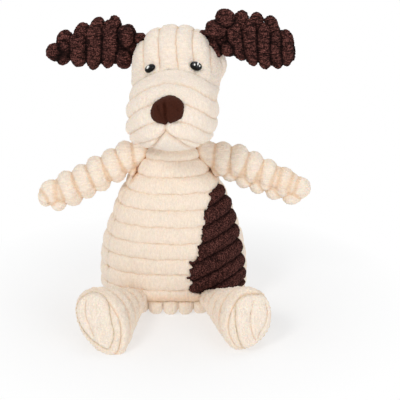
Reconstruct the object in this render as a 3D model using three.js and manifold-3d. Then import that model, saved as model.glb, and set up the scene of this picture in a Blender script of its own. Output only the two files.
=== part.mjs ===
// A squeaky plush dog toy of wide-wale corduroy plush, sitting, face to -Y.
// Millimetres, +Z up. The origin is the middle of the flat under the seat.
// Left and right are the toy's own: its left is +X.

import * as THREE from 'three';
import { mergeVertices } from 'three/addons/utils/BufferGeometryUtils.js';
import Module from 'manifold-3d';

const wasm = await Module();
wasm.setup();

// Cloth and seams
const clothThickness = 2.4;
const seamGap = 0.3;
const facetAllowance = 0.15;
const cutOverrun = 6;
const rayReach = 130;
const raySteps = 26;
const slopeStep = 0.01;

// Wales: the padded cords of the plush. Shares are of one wale's pitch and of its height.
const waleRowShares = [0, 0.2, 0.8];
const waleHeightShares = [0, 1, 1];
const endRowShares = [0.5, 0.88];

// Body
const bodyHalfWidth = 43.4;
const bodyHalfDepth = 27;
const shoulderHeight = 96;
const bodySquareness = 2.3;
const bodyHeightShares = [0, 0.02, 0.06, 0.11, 0.25, 0.37, 0.47, 0.57, 0.67, 0.78, 0.88, 0.96, 1];
const bodyWidthShares = [0.76, 0.88, 0.96, 0.98, 0.98, 0.95, 0.89, 0.81, 0.73, 0.61, 0.48, 0.39, 0.36];
const bodyDepthShares = [0.9, 0.96, 0.99, 1, 1, 0.99, 0.96, 0.9, 0.83, 0.75, 0.65, 0.57, 0.54];
const bodyWalePitch = 9.46;
const bodyGrooveHeight = 15.7;
const bodyWaleDepth = 1.3;
const bodySides = 24;
const sideSeamY = -11.5;

// Seat
const seatSeamHeight = 9.1;
const seatWalePitch = 8;
const seatWaleDepth = 1.3;
const seatFlatDepth = 0.5;
const seatSides = 12;

// Patch on the front of the belly: its left edge as a polyline in X and Z, its right edge at the side seam
const patchWalePitch = 7.7;
const patchWaleAngle = THREE.MathUtils.degToRad(26);
const patchWidthShares = [0.65, 0.43, 0.39, 0.34, 0.265, 0.19, 0.215, 0.26];
const patchHeightShares = [0.85, 0.7, 0.585, 0.49, 0.36, 0.305, 0.17, 0.06];
const patchPointShares = [0.6, 0.89];

// Neck: a ball on the body, a cup in the head and the thread that gathers them
const neckDrop = 4;
const neckBallRadius = 16;
const neckThreadRadius = 0.4;
const neckThreadRise = 12.5;
const neckThreadSides = 5;
const neckThreadSteps = 20;

// Head: a cranium and a muzzle that flow into each other
const headMidX = 1.2;
const headTurn = THREE.MathUtils.degToRad(-3);
const craniumY = 4;
const craniumRise = 44;
const craniumHalfWidth = 26.2;
const craniumHalfDepth = 26;
const craniumHalfHeight = 28;
const muzzleReach = 30;
const muzzleDrop = 12;
const muzzleHalfWidth = 23.5;
const muzzleHalfDepth = 27.5;
const muzzleHalfHeight = 20;
const headSquareness = 2.4;
const headBlend = 8;
const headSides = 22;
const headWalePitch = 9.7;
const headWaleDepth = 0.9;
const browGrooveX = 1;
const headSeamY = 3;
const browSeamDrop = 5.25;
const muzzleGrooveRise = 7.1;
const muzzleWaleAngle = THREE.MathUtils.degToRad(32);

// Chin: the white wedge under the lips
const lipApexShift = 1;
const lipApexDrop = 4.6;
const chinHalfWidth = 16;
const chinDrop = 25;
const chinRearReach = 2;

// Nose
const noseShift = 0.3;
const noseReach = 24.5;
const noseRise = 6.3;
const noseHalfWidth = 9;
const noseHalfDepth = 6.6;
const noseHalfHeight = 8;
const noseSides = 18;
const noseRows = 10;

// Eyes: a bead with a shank through the cloth and a washer behind it
const eyeHalfSpacing = 12.3;
const eyeRise = 11.6;
const eyeReach = 25;
const eyeRadius = 3.1;
const eyeDome = 2.3;
const shankRadius = 0.9;
const shankReach = 2;
const washerRadius = 4.2;
const washerThickness = 1;
const eyeSides = 12;

// Ears: two layers of plush with a crinkle film between them
const earLength = 48;
const leftEarLengthShare = 0.91;
const earWidth = 30;
const earThickness = 10;
const earFilmThickness = 0.4;
const earFilmInset = 4;
const earWaleDepth = 1.2;
const earSides = 14;
const earSquareness = 2.6;
const earForward = THREE.MathUtils.degToRad(60);
const earBackward = THREE.MathUtils.degToRad(40);
const earRowShares = [-0.16, 0, 0.14, 0.3, 0.47, 0.64, 0.8, 0.92];
const earGrooveShares = [1, 0.55, 1, 0.55, 1, 0.55, 1, 0.4];
const earPlumpShares = [0.34, 0.4, 0.75, 0.95, 1, 0.95, 0.85, 0.6];
const earFilmShares = [-0.08, 0.12, 0.36, 0.64, 0.86];
const rightEarTopShares = [0.3, 0.32, 0.6, 0.69, 0.61, 0.5, 0.33, 0.14];
const rightEarBottomShares = [-0.3, -0.3, -0.31, -0.31, -0.33, -0.31, -0.2, -0.1];
const leftEarTopShares = [0.36, 0.42, 0.78, 0.81, 0.79, 0.72, 0.5, 0.14];
const leftEarBottomShares = [-0.16, -0.14, -0.13, -0.15, -0.25, -0.3, -0.29, -0.18];
const earDroop = THREE.MathUtils.degToRad(3);
const earSeamShare = 0.536;
const earSeamLean = THREE.MathUtils.degToRad(25);

// Arms
const armLength = 67.7;
const armRadius = 9.7;
const armWaleDepth = 2.3;
const armClothThickness = 1.6;
const armWalePitch = 9.7;
const armFirstGroove = 8.4;
const armRootShare = 0.75;
const armTipShare = 0.62;
const armTaperShare = 0.9;
const armSides = 12;
const armForwardAngle = THREE.MathUtils.degToRad(11);
const armRootX = 16;
const armRootY = -2;
const armRootRise = 1;
const armHingeReach = 4;
const armRaise = THREE.MathUtils.degToRad(35);
const armLower = THREE.MathUtils.degToRad(25);
const rightArmRootDroop = THREE.MathUtils.degToRad(32);
const rightArmTipDroop = THREE.MathUtils.degToRad(17);
const leftArmRootDroop = THREE.MathUtils.degToRad(23);
const leftArmTipDroop = THREE.MathUtils.degToRad(18);

// Legs
const legLength = 58;
const legRootX = 22;
const legRootY = -19;
const legRootHeight = 7.6;
const legRise = THREE.MathUtils.degToRad(9.5);
const rightLegSplay = THREE.MathUtils.degToRad(19);
const leftLegSplay = THREE.MathUtils.degToRad(21);
const footHalfHeight = 19;
const footHalfWidth = 13.8;
const rightFootTilt = THREE.MathUtils.degToRad(31);
const leftFootTilt = THREE.MathUtils.degToRad(17);
const legRowShares = [-0.1, 0.12, 0.35, 0.55, 0.72, 0.86, 0.95, 0.99];
const legTallShares = [0.32, 0.36, 0.56, 0.75, 0.91, 1, 0.96, 0.78];
const legWideShares = [0.62, 0.68, 0.8, 0.91, 0.98, 1, 0.95, 0.76];
const soleThickness = 4.6;
const legSides = 14;
const legLift = THREE.MathUtils.degToRad(65);
const legHingeRise = 7.5;
const floorClearance = 0.3;

// Squeaker: a round bladder in the belly, its axis along Y
const squeakerHeight = 42;
const squeakerRadius = 17;
const squeakerWall = 0.9;
const squeakerFrontY = -16;
const squeakerDomeLength = 5;
const squeakerFoldLength = 8;
const squeakerFoldDepth = 2.2;
const squeakerFoldShares = [0, 0.25, 0.5, 0.75, 1];
const squeakerCupLength = 7;
const squeakerNeckRadius = 5.2;
const squeakerPlugRadius = 4.2;
const squeakerPlugLength = 6;
const squeakerPlugLip = 1.2;
const squeakerBoreRadius = 1.6;
const reedThickness = 0.35;
const reedLength = 4;
const squeakerSides = 16;
const pocketClearance = 0.8;

// Joint steps at which a limb is trimmed by what it turns against
const sweepSteps = 3;

const finishes = {
  cream: { color: 0xf6e4cb, roughness: 0.95 },
  headCream: { color: 0xf8ecd9, roughness: 0.95 },
  chinWhite: { color: 0xfbf6f0, roughness: 0.95 },
  brown: { color: 0x46231f, roughness: 0.9 },
  noseSatin: { color: 0x3b1f1b, roughness: 0.55 },
  bead: { color: 0x0b0b0c, roughness: 0.12 },
  washer: { color: 0xe8e8e6, roughness: 0.5 },
  stuffing: { color: 0xf4f4f2, roughness: 1 },
  film: { color: 0xdfe6ea, roughness: 0.25 },
  thread: { color: 0xe9d5ae, roughness: 0.8 },
  bladder: { color: 0xeeeee4, roughness: 0.45 },
  reed: { color: 0xd8dadd, roughness: 0.3 },
};

// Small helpers

const toVector = (x, y, z) => new THREE.Vector3(x, y, z);
const axisX = toVector(1, 0, 0);
const axisY = toVector(0, 1, 0);
const axisZ = toVector(0, 0, 1);

function material(name) {
  return new THREE.MeshStandardMaterial({ ...finishes[name], metalness: 0, name });
}

// A closed mesh from rings of points between two poles. Its faces point out.
function closedSkin(rings, lowPole, highPole) {
  const sides = rings[0].length;
  const points = [lowPole, ...rings.flat(), highPole];
  const last = points.length - 1;
  const index = [];
  for (let side = 0; side < sides; side += 1) {
    const next = (side + 1) % sides;
    index.push(0, 1 + next, 1 + side);
    for (let row = 0; row + 1 < rings.length; row += 1) {
      const here = 1 + row * sides;
      const above = here + sides;
      index.push(here + side, here + next, above + next);
      index.push(here + side, above + next, above + side);
    }
    const top = 1 + (rings.length - 1) * sides;
    index.push(last, top + side, top + next);
  }
  let volume = 0;
  for (let face = 0; face < index.length; face += 3) {
    const [a, b, c] = index.slice(face, face + 3).map((corner) => points[corner]);
    volume += a.dot(b.clone().cross(c));
  }
  if (volume < 0) {
    index.reverse();
  }
  const geometry = new THREE.BufferGeometry();
  const places = points.flatMap((point) => point.toArray());
  geometry.setAttribute('position', new THREE.Float32BufferAttribute(places, 3));
  geometry.setIndex(index);
  return geometry;
}

// A geometry, moved into place, as a solid that can be cut and joined.
function toSolid(geometry, placement = new THREE.Matrix4()) {
  const bare = geometry.clone().applyMatrix4(placement);
  bare.deleteAttribute('normal');
  bare.deleteAttribute('uv');
  const merged = mergeVertices(bare);
  return new wasm.Manifold(new wasm.Mesh({
    numProp: 3,
    vertProperties: new Float32Array(merged.attributes.position.array),
    triVerts: new Uint32Array(merged.index.array),
  }));
}

function toGeometry(solid) {
  const { vertProperties, triVerts } = solid.getMesh();
  const geometry = new THREE.BufferGeometry();
  geometry.setAttribute('position', new THREE.BufferAttribute(vertProperties, 3));
  geometry.setIndex(new THREE.BufferAttribute(triVerts, 1));
  geometry.computeVertexNormals();
  return geometry;
}

function piece(name, solid, finish) {
  const mesh = new THREE.Mesh(toGeometry(solid), material(finish));
  mesh.name = name;
  return mesh;
}

// A box between two corners. Every cutter reaches past the toy by the same overrun.
function boxBetween(low, high) {
  const size = high.clone().sub(low);
  const middle = low.clone().add(high).multiplyScalar(0.5);
  const geometry = new THREE.BoxGeometry(size.x, size.y, size.z);
  return toSolid(geometry, new THREE.Matrix4().setPosition(middle));
}

const far = 2 * (rayReach + cutOverrun);
const halfSpace = {
  above: (height) => boxBetween(toVector(-far, -far, height), toVector(far, far, height + far)),
  below: (height) => boxBetween(toVector(-far, -far, height - far), toVector(far, far, height)),
  before: (y) => boxBetween(toVector(-far, y - far, -far), toVector(far, y, far)),
  behind: (y) => boxBetween(toVector(-far, y, -far), toVector(far, y + far, far)),
};

// The half space on the far side of a plane through a point.
function beyondPlane(point, normal) {
  const turn = new THREE.Quaternion().setFromUnitVectors(axisZ, normal.clone().normalize());
  const placement = new THREE.Matrix4().compose(point, turn, toVector(1, 1, 1));
  return halfSpace.above(0).transform(Array.from(placement.elements));
}

// A prism along Y over an outline in X and Z.
function prismAlongY(outline, lowY, highY) {
  const shape = new THREE.Shape(outline.map(([x, z]) => new THREE.Vector2(x, z)));
  const geometry = new THREE.ExtrudeGeometry(shape, { depth: highY - lowY, bevelEnabled: false });
  const placement = new THREE.Matrix4().makeRotationX(Math.PI / 2).setPosition(0, highY, 0);
  return toSolid(geometry, placement);
}

// The matrix that turns everything about an axis through a point.
function turnAbout(point, axis, angle) {
  const there = new THREE.Matrix4().makeTranslation(point.x, point.y, point.z);
  const back = new THREE.Matrix4().makeTranslation(-point.x, -point.y, -point.z);
  return there.multiply(new THREE.Matrix4().makeRotationAxis(axis, angle)).multiply(back);
}

// A limb, less everything that the larger solid sweeps through as the limb turns from one angle to the other.
function trimmedThroughSweep(limb, larger, point, axis, fromAngle, toAngle) {
  let trimmed = limb;
  for (let step = 0; step <= sweepSteps; step += 1) {
    const angle = THREE.MathUtils.lerp(fromAngle, toAngle, step / sweepSteps);
    trimmed = trimmed.subtract(larger.transform(Array.from(turnAbout(point, axis, -angle).elements)));
  }
  return trimmed.subtract(larger);
}

// Forms as distances: negative inside, in millimetres near the surface

function superellipsoidDistance(centre, radii, squareness) {
  return (point) => {
    const reaches = radii.toArray();
    const offsets = point.clone().sub(centre).toArray();
    const shares = offsets.map((offset, side) => Math.abs(offset) / reaches[side]);
    const sum = shares.reduce((total, share) => total + share ** squareness, Number.EPSILON);
    const gauge = sum ** (1 / squareness);
    const slopes = shares.map((share, side) => (share / gauge) ** (squareness - 1) / reaches[side]);
    return (gauge - 1) / Math.hypot(...slopes);
  };
}

function smoothUnion(first, second, blend) {
  return (point) => {
    const a = first(point);
    const b = second(point);
    const overlap = Math.max(blend - Math.abs(a - b), 0) / blend;
    return Math.min(a, b) - (overlap * overlap * blend) / 4;
  };
}

// A smooth curve through a table of shares, read at a share.
function readTable(places, values, place) {
  const top = places.length - 1;
  const at = THREE.MathUtils.clamp(place, places[0], places[top]);
  const cell = Math.min(Math.max(places.findIndex((edge) => edge > at) - 1, 0), top - 1);
  const low = at >= places[top] ? top - 1 : cell;
  const width = places[low + 1] - places[low];
  const slopeAt = (knot) => {
    const before = Math.max(knot - 1, 0);
    const after = Math.min(knot + 1, top);
    return (values[after] - values[before]) / (places[after] - places[before]);
  };
  const t = (at - places[low]) / width;
  const rise = values[low + 1] - values[low];
  const start = slopeAt(low) * width;
  const end = slopeAt(low + 1) * width;
  return values[low] + t * (start + t * (3 * rise - 2 * start - end + t * (start + end - 2 * rise)));
}

function bodyHalfWidthAt(height) {
  return bodyHalfWidth * readTable(bodyHeightShares, bodyWidthShares, height / shoulderHeight);
}

function bodyHalfDepthAt(height) {
  return bodyHalfDepth * readTable(bodyHeightShares, bodyDepthShares, height / shoulderHeight);
}

const neckHeight = shoulderHeight - neckDrop;
const neckPivot = toVector(0, 0, neckHeight);
const seatBottom = seatWaleDepth - seatFlatDepth;

function bodyDistance(point) {
  const radii = toVector(bodyHalfWidthAt(point.z), bodyHalfDepthAt(point.z), shoulderHeight);
  const level = superellipsoidDistance(toVector(0, 0, point.z), radii, bodySquareness)(point);
  const torso = Math.max(level, point.z - shoulderHeight, seatBottom - point.z);
  return Math.min(torso, point.distanceTo(neckPivot) - neckBallRadius);
}

const craniumHeart = toVector(headMidX, craniumY, neckHeight + craniumRise);
const muzzleHeart = craniumHeart.clone().sub(toVector(0, muzzleReach, muzzleDrop));
const cranium = superellipsoidDistance(
  craniumHeart,
  toVector(craniumHalfWidth, craniumHalfDepth, craniumHalfHeight),
  headSquareness,
);
const muzzle = superellipsoidDistance(
  muzzleHeart,
  toVector(muzzleHalfWidth, muzzleHalfDepth, muzzleHalfHeight),
  headSquareness,
);
const headDistance = smoothUnion(cranium, muzzle, headBlend);

// How far a ray runs inside a form.
function reachInside(distance, start, direction) {
  let near = 0;
  let far = rayReach;
  for (let step = 0; step < raySteps; step += 1) {
    const middle = (near + far) / 2;
    if (distance(start.clone().addScaledVector(direction, middle)) < 0) {
      near = middle;
    } else {
      far = middle;
    }
  }
  return near;
}

// The surface point that lies farthest along a direction, seen from the heart of the form.
function farthestPoint(distance, heart, direction) {
  const goldenAngle = Math.PI * (3 - Math.sqrt(5));
  const rays = 900;
  let best = null;
  for (let ray = 0; ray < rays; ray += 1) {
    const rise = 1 - (2 * ray + 1) / rays;
    const flat = Math.sqrt(1 - rise * rise);
    const way = toVector(flat * Math.cos(ray * goldenAngle), flat * Math.sin(ray * goldenAngle), rise);
    const point = heart.clone().addScaledVector(way, reachInside(distance, heart, way));
    if (!best || point.dot(direction) > best.dot(direction)) {
      best = point;
    }
  }
  return best;
}

// Rows of a form with wales: places along the axis, each with its share of the wale's height.
function waleRows(low, high, groove, pitch) {
  const rows = [];
  const first = Math.floor((low - groove) / pitch);
  for (let wale = first; groove + wale * pitch < high; wale += 1) {
    waleRowShares.forEach((share, row) => {
      rows.push({ place: groove + (wale + share) * pitch, height: waleHeightShares[row] });
    });
  }
  const margin = pitch * waleRowShares[1];
  const kept = rows.filter(({ place }) => place > low + margin && place < high - margin);
  const between = (from, to) => endRowShares.map((share) => ({
    place: THREE.MathUtils.lerp(from, to, share),
    height: 1,
  }));
  return [...between(kept[0].place, low).reverse(), ...kept, ...between(kept.at(-1).place, high)];
}

// Rows of a smooth form, closer together towards its ends.
function smoothRows(low, high, count) {
  const middle = (low + high) / 2;
  const half = (high - low) / 2;
  return Array.from({ length: count }, (_, row) => ({
    place: middle - half * Math.cos((Math.PI * (row + 0.7)) / (count + 0.4)),
    height: 0,
  }));
}

// A closed form cut in slices square to an axis. With wales its slices swell and shrink in turn.
// The stretch spreads each slice's points round an oblong section, so that its corners keep theirs.
function slicedForm({ distance, heart, axis, sides, wales, rows, poles, stretch = [1, 1] }) {
  const [lowPole, highPole] = poles ?? [
    farthestPoint(distance, heart, axis.clone().negate()),
    farthestPoint(distance, heart, axis),
  ];
  const low = lowPole.dot(axis);
  const high = highPole.dot(axis);
  const slices = wales ? waleRows(low, high, wales.groove, wales.pitch) : smoothRows(low, high, rows);
  const across = axis.x === 1 ? axisY.clone() : axisX.clone();
  across.addScaledVector(axis, -across.dot(axis)).normalize();
  const up = axis.clone().cross(across).normalize();
  const rings = slices.map(({ place, height }) => {
    const centre = lowPole.clone().lerp(highPole, (place - low) / (high - low));
    return Array.from({ length: sides }, (_, side) => {
      const angle = (2 * Math.PI * (side + 0.5)) / sides;
      const way = across.clone().multiplyScalar(stretch[0] * Math.cos(angle));
      way.addScaledVector(up, stretch[1] * Math.sin(angle)).normalize();
      const reach = reachInside(distance, centre, way) + height * (wales?.depth ?? 0);
      return centre.clone().addScaledVector(way, reach);
    });
  });
  return toSolid(closedSkin(rings, lowPole, highPole));
}

// A form grown, or shrunk where the amount is negative.
const grown = (distance, amount) => (point) => distance(point) - amount;

// Body

function bodyForm(amount, extra) {
  const distance = grown(bodyDistance, amount);
  const poles = [
    toVector(0, 0, seatBottom - amount),
    toVector(0, 0, neckHeight + neckBallRadius + amount),
  ];
  return slicedForm({ distance, axis: axisZ, sides: bodySides, poles, ...extra });
}

const bodyWales = { groove: bodyGrooveHeight, pitch: bodyWalePitch, depth: bodyWaleDepth };
const bodySkin = bodyForm(0, { wales: bodyWales });
const bodyInside = bodyForm(-clothThickness, { rows: 10 });
const bodyEnvelope = bodyForm(bodyWaleDepth + seamGap + facetAllowance, { rows: 16 });
const bodyCloth = bodySkin.subtract(bodyInside);
const halfGap = seamGap / 2;

function patchPrism(margin) {
  const left = patchWidthShares.map((share, row) => [
    share * bodyHalfWidth - margin,
    patchHeightShares[row] * shoulderHeight,
  ]);
  const [pointAcross, pointUp] = patchPointShares;
  const top = [pointAcross * bodyHalfWidth + margin, pointUp * shoulderHeight + margin];
  const bottom = seatSeamHeight - cutOverrun;
  const right = [[bodyHalfWidth + cutOverrun, bottom], [bodyHalfWidth + cutOverrun, top[1]]];
  const foot = [left.at(-1)[0], bottom];
  return prismAlongY([top, ...left, foot, ...right], -bodyHalfDepth - cutOverrun, sideSeamY);
}

function patchForm() {
  const across = toVector(-Math.sin(patchWaleAngle), 0, Math.cos(patchWaleAngle));
  return slicedForm({
    distance: bodyDistance,
    heart: toVector(0, 0, squeakerHeight),
    axis: across,
    sides: bodySides + bodySides / 2,
    wales: { groove: halfGap, pitch: patchWalePitch, depth: bodyWaleDepth },
  });
}

function seatForm() {
  const top = seatSeamHeight + cutOverrun;
  const distance = (point) => Math.max(bodyDistance(point), point.z - top);
  const middle = (seatBottom + top) / 2;
  const end = bodyHalfWidthAt(middle);
  return slicedForm({
    distance,
    axis: axisX,
    sides: seatSides,
    poles: [toVector(-end, 0, middle), toVector(end, 0, middle)],
    stretch: [bodyHalfDepth, (top - seatBottom) / 2],
    wales: { groove: seatWalePitch / 2, pitch: seatWalePitch, depth: seatWaleDepth },
  });
}

// Squeaker

const squeakerFoldY = squeakerFrontY + squeakerDomeLength;
const squeakerCupY = squeakerFoldY + squeakerFoldLength;
const squeakerRearY = squeakerCupY + squeakerCupLength;

// A turned piece about the squeaker's axis. Its outline is a list of radius and place along +Y.
function turnedSqueaker(outline) {
  const points = outline.map(([radius, y]) => new THREE.Vector2(radius, y));
  const geometry = new THREE.LatheGeometry(points, squeakerSides);
  return toSolid(geometry, new THREE.Matrix4().makeTranslation(0, 0, squeakerHeight));
}

function squeakerFrontSolid() {
  const edge = squeakerFoldY - halfGap;
  const brow = squeakerFrontY + squeakerDomeLength * 0.35;
  return turnedSqueaker([
    [0, squeakerFrontY],
    [squeakerRadius * 0.55, squeakerFrontY],
    [squeakerRadius * 0.88, brow],
    [squeakerRadius, edge],
    [squeakerRadius - squeakerWall, edge],
    [squeakerRadius * 0.84, brow + squeakerWall],
    [squeakerRadius * 0.52, squeakerFrontY + squeakerWall],
    [0, squeakerFrontY + squeakerWall],
  ]);
}

function squeakerFoldSolid() {
  const front = squeakerFoldY + halfGap;
  const rear = squeakerCupY - halfGap;
  const outer = squeakerFoldShares.map((share, row) => [
    squeakerRadius - (row % 2) * squeakerFoldDepth,
    THREE.MathUtils.lerp(front, rear, share),
  ]);
  const inner = outer.map(([radius, y]) => [radius - squeakerWall, y]).reverse();
  return turnedSqueaker([...outer, ...inner, outer[0]]);
}

function squeakerCupSolid() {
  const front = squeakerCupY + halfGap;
  const heel = squeakerRearY - squeakerCupLength * 0.35;
  const outline = [
    [squeakerRadius, front],
    [squeakerRadius * 0.9, heel],
    [squeakerRadius * 0.6, squeakerRearY],
    [squeakerNeckRadius, squeakerRearY],
    [squeakerNeckRadius, squeakerRearY - squeakerWall],
    [squeakerRadius * 0.56, squeakerRearY - squeakerWall],
    [squeakerRadius * 0.9 - squeakerWall, heel - squeakerWall],
    [squeakerRadius - squeakerWall, front],
  ];
  return turnedSqueaker([...outline, outline[0]]);
}

function squeakerPlugSolid() {
  const front = squeakerRearY - squeakerPlugLength / 2;
  const rear = front + squeakerPlugLength;
  const lipRadius = squeakerNeckRadius + squeakerPlugLip;
  const shoulder = squeakerRearY + seamGap;
  const outline = [
    [squeakerBoreRadius, front],
    [squeakerPlugRadius, front],
    [squeakerPlugRadius, shoulder],
    [lipRadius, shoulder],
    [lipRadius, rear],
    [squeakerBoreRadius, rear],
  ];
  return turnedSqueaker([...outline, outline[0]]);
}

function squeakerReedSolid() {
  const front = squeakerRearY - squeakerPlugLength / 2 - halfGap - reedThickness - halfGap;
  const half = reedLength / 2;
  return boxBetween(
    toVector(-half, front, squeakerHeight - half),
    toVector(half, front + reedThickness, squeakerHeight + half),
  );
}

function squeakerPocket() {
  const radius = squeakerRadius + pocketClearance;
  const front = squeakerFrontY - pocketClearance;
  const rear = squeakerRearY + squeakerPlugLength / 2 + pocketClearance;
  return turnedSqueaker([[0, front], [radius, front], [radius, rear], [0, rear]]);
}

const bodyStuffing = bodyForm(-clothThickness - seamGap, { rows: 10 }).subtract(squeakerPocket());

function buildTorso() {
  const torso = new THREE.Group();
  const front = halfSpace.before(sideSeamY - halfGap);
  const aboveSeat = halfSpace.above(seatSeamHeight + halfGap);
  const frontCloth = bodyCloth.intersect(front).intersect(aboveSeat);
  const patchCloth = patchForm().subtract(bodyInside).intersect(front).intersect(aboveSeat);
  const seatCloth = seatForm().subtract(bodyInside).intersect(halfSpace.below(seatSeamHeight - halfGap));
  const backCloth = bodyCloth.intersect(halfSpace.behind(sideSeamY + halfGap)).intersect(aboveSeat);
  const frontStuffing = bodyStuffing.intersect(halfSpace.before(squeakerFoldY - halfGap));
  const backStuffing = bodyStuffing.intersect(halfSpace.behind(squeakerFoldY + halfGap));
  torso.add(
    piece('body_front_panel', frontCloth.subtract(patchPrism(seamGap)), 'cream'),
    piece('body_patch', patchCloth.intersect(patchPrism(0)), 'brown'),
    piece('body_back_panel', backCloth, 'cream'),
    piece('body_seat_panel', seatCloth.intersect(halfSpace.above(0)), 'cream'),
    piece('body_stuffing_front', frontStuffing, 'stuffing'),
    piece('body_stuffing_back', backStuffing, 'stuffing'),
    piece('squeaker_front', squeakerFrontSolid(), 'bladder'),
    piece('squeaker_fold', squeakerFoldSolid(), 'bladder'),
    piece('squeaker_cup', squeakerCupSolid(), 'bladder'),
    piece('squeaker_plug', squeakerPlugSolid(), 'reed'),
    piece('squeaker_reed', squeakerReedSolid(), 'reed'),
  );
  return torso;
}

// Neck thread: a ring halfway between the ball and the cup

const threadGap = seamGap + neckThreadRadius;
const threadSeatRadius = neckBallRadius + bodyWaleDepth + threadGap;
const neckCupRadius = threadSeatRadius + threadGap;

function neckThreadPiece() {
  const ringRadius = Math.sqrt(threadSeatRadius ** 2 - neckThreadRise ** 2);
  const geometry = new THREE.TorusGeometry(ringRadius, neckThreadRadius, neckThreadSides, neckThreadSteps);
  const placement = new THREE.Matrix4().makeTranslation(0, 0, neckHeight + neckThreadRise);
  return piece('neck_thread', toSolid(geometry, placement), 'thread');
}

// Head

const headHeart = craniumHeart.clone().lerp(muzzleHeart, 0.5);
const muzzleAxis = toVector(0, Math.sin(muzzleWaleAngle), Math.cos(muzzleWaleAngle));
const browSeamRise = craniumHeart.dot(muzzleAxis) - browSeamDrop;
const muzzleGroove = muzzleHeart.dot(muzzleAxis) + muzzleGrooveRise;

function headForm(amount, extra) {
  const distance = grown(headDistance, amount);
  return slicedForm({ distance, heart: headHeart, axis: axisX, sides: headSides, ...extra });
}

const crownPoles = [-1, 1].map((side) => (
  craniumHeart.clone().addScaledVector(axisX, side * craniumHalfWidth)
));
const browWales = { groove: headMidX + browGrooveX, pitch: headWalePitch, depth: headWaleDepth };
const muzzleWales = { groove: muzzleGroove, pitch: headWalePitch, depth: headWaleDepth };
const browSkin = headForm(0, { wales: browWales, poles: crownPoles });
const muzzleSkin = headForm(0, { axis: muzzleAxis, wales: muzzleWales });
const headInside = headForm(-clothThickness, { rows: 11, sides: headSides - 4 });
const headFill = headForm(-clothThickness - seamGap, { rows: 11, sides: headSides - 4 });
const headEnvelope = headForm(headWaleDepth + seamGap + facetAllowance, { rows: 28, sides: 2 * headSides });
const noseSeat = headForm(seamGap + facetAllowance, { axis: muzzleAxis, wales: muzzleWales });
const neckCup = toSolid(
  new THREE.SphereGeometry(neckCupRadius, headSides, headSides / 2),
  new THREE.Matrix4().setPosition(neckPivot),
);

function browPlane(offset) {
  return beyondPlane(muzzleAxis.clone().multiplyScalar(browSeamRise + offset), muzzleAxis);
}

function chinPrism(margin) {
  const bottom = muzzleHeart.z - chinDrop - cutOverrun;
  const apexX = muzzleHeart.x - lipApexShift;
  const outline = [
    [apexX, muzzleHeart.z - lipApexDrop + margin],
    [apexX - chinHalfWidth - margin, bottom],
    [apexX + chinHalfWidth + margin, bottom],
  ];
  const front = muzzleHeart.y - muzzleHalfDepth - cutOverrun;
  return prismAlongY(outline, front, muzzleHeart.y + chinRearReach + margin);
}

function noseSolid() {
  const ball = new THREE.SphereGeometry(1, noseSides, noseRows);
  const placement = new THREE.Matrix4().compose(
    muzzleHeart.clone().add(toVector(noseShift, -noseReach, noseRise)),
    new THREE.Quaternion(),
    toVector(noseHalfWidth, noseHalfDepth, noseHalfHeight),
  );
  return toSolid(ball, placement).subtract(noseSeat);
}

// Where an eye sits: a point on the cloth's base surface and the way that it looks.
function eyeSeat(side) {
  const way = toVector(side * eyeHalfSpacing, -eyeReach, eyeRise).normalize();
  const reach = reachInside(headDistance, craniumHeart, way);
  const point = craniumHeart.clone().addScaledVector(way, reach);
  const distanceAt = (axis, step) => headDistance(point.clone().addScaledVector(axis, step));
  const slopeAlong = (axis) => distanceAt(axis, slopeStep) - distanceAt(axis, -slopeStep);
  const slope = [axisX, axisY, axisZ].map(slopeAlong);
  const normal = toVector(...slope).normalize();
  const turn = new THREE.Quaternion().setFromUnitVectors(axisY, normal);
  return new THREE.Matrix4().compose(point, turn, toVector(1, 1, 1));
}

// A turned piece along an eye's axis, with heights counted from the cloth's base surface.
function turnedOnEye(seat, outline) {
  const points = outline.map(([radius, height]) => new THREE.Vector2(radius, height));
  return toSolid(new THREE.LatheGeometry(points, eyeSides), seat);
}

function eyeSolid(seat) {
  const floor = headWaleDepth + seamGap + facetAllowance;
  const shankEnd = -clothThickness - shankReach;
  const bead = turnedOnEye(seat, [
    [0, -eyeDome],
    [eyeRadius, -eyeDome],
    [eyeRadius, floor],
    [eyeRadius * 0.97, floor + eyeDome * 0.35],
    [eyeRadius * 0.72, floor + eyeDome * 0.8],
    [eyeRadius * 0.35, floor + eyeDome * 0.98],
    [0, floor + eyeDome],
  ]);
  const shankTop = floor + eyeDome / 2;
  const shankOutline = [[0, shankEnd], [shankRadius, shankEnd], [shankRadius, shankTop], [0, shankTop]];
  const shank = turnedOnEye(seat, shankOutline);
  return bead.subtract(headEnvelope).add(shank);
}

function washerSolid(seat) {
  const top = -clothThickness;
  const low = top - seamGap - washerThickness;
  const hole = shankRadius + seamGap;
  const outline = [[hole, low], [washerRadius, low], [washerRadius, top], [hole, top]];
  return turnedOnEye(seat, [...outline, outline[0]]).intersect(headFill);
}

function eyePocket(seat) {
  const low = -clothThickness - shankReach - seamGap;
  const radius = washerRadius + seamGap;
  return turnedOnEye(seat, [[0, low], [radius, low], [radius, clothThickness], [0, clothThickness]]);
}

function eyeHole(seat) {
  const radius = shankRadius + seamGap;
  const low = -clothThickness - cutOverrun;
  return turnedOnEye(seat, [[0, low], [radius, low], [radius, cutOverrun], [0, cutOverrun]]);
}

const eyeSeats = { right: eyeSeat(-1), left: eyeSeat(1) };

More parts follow.
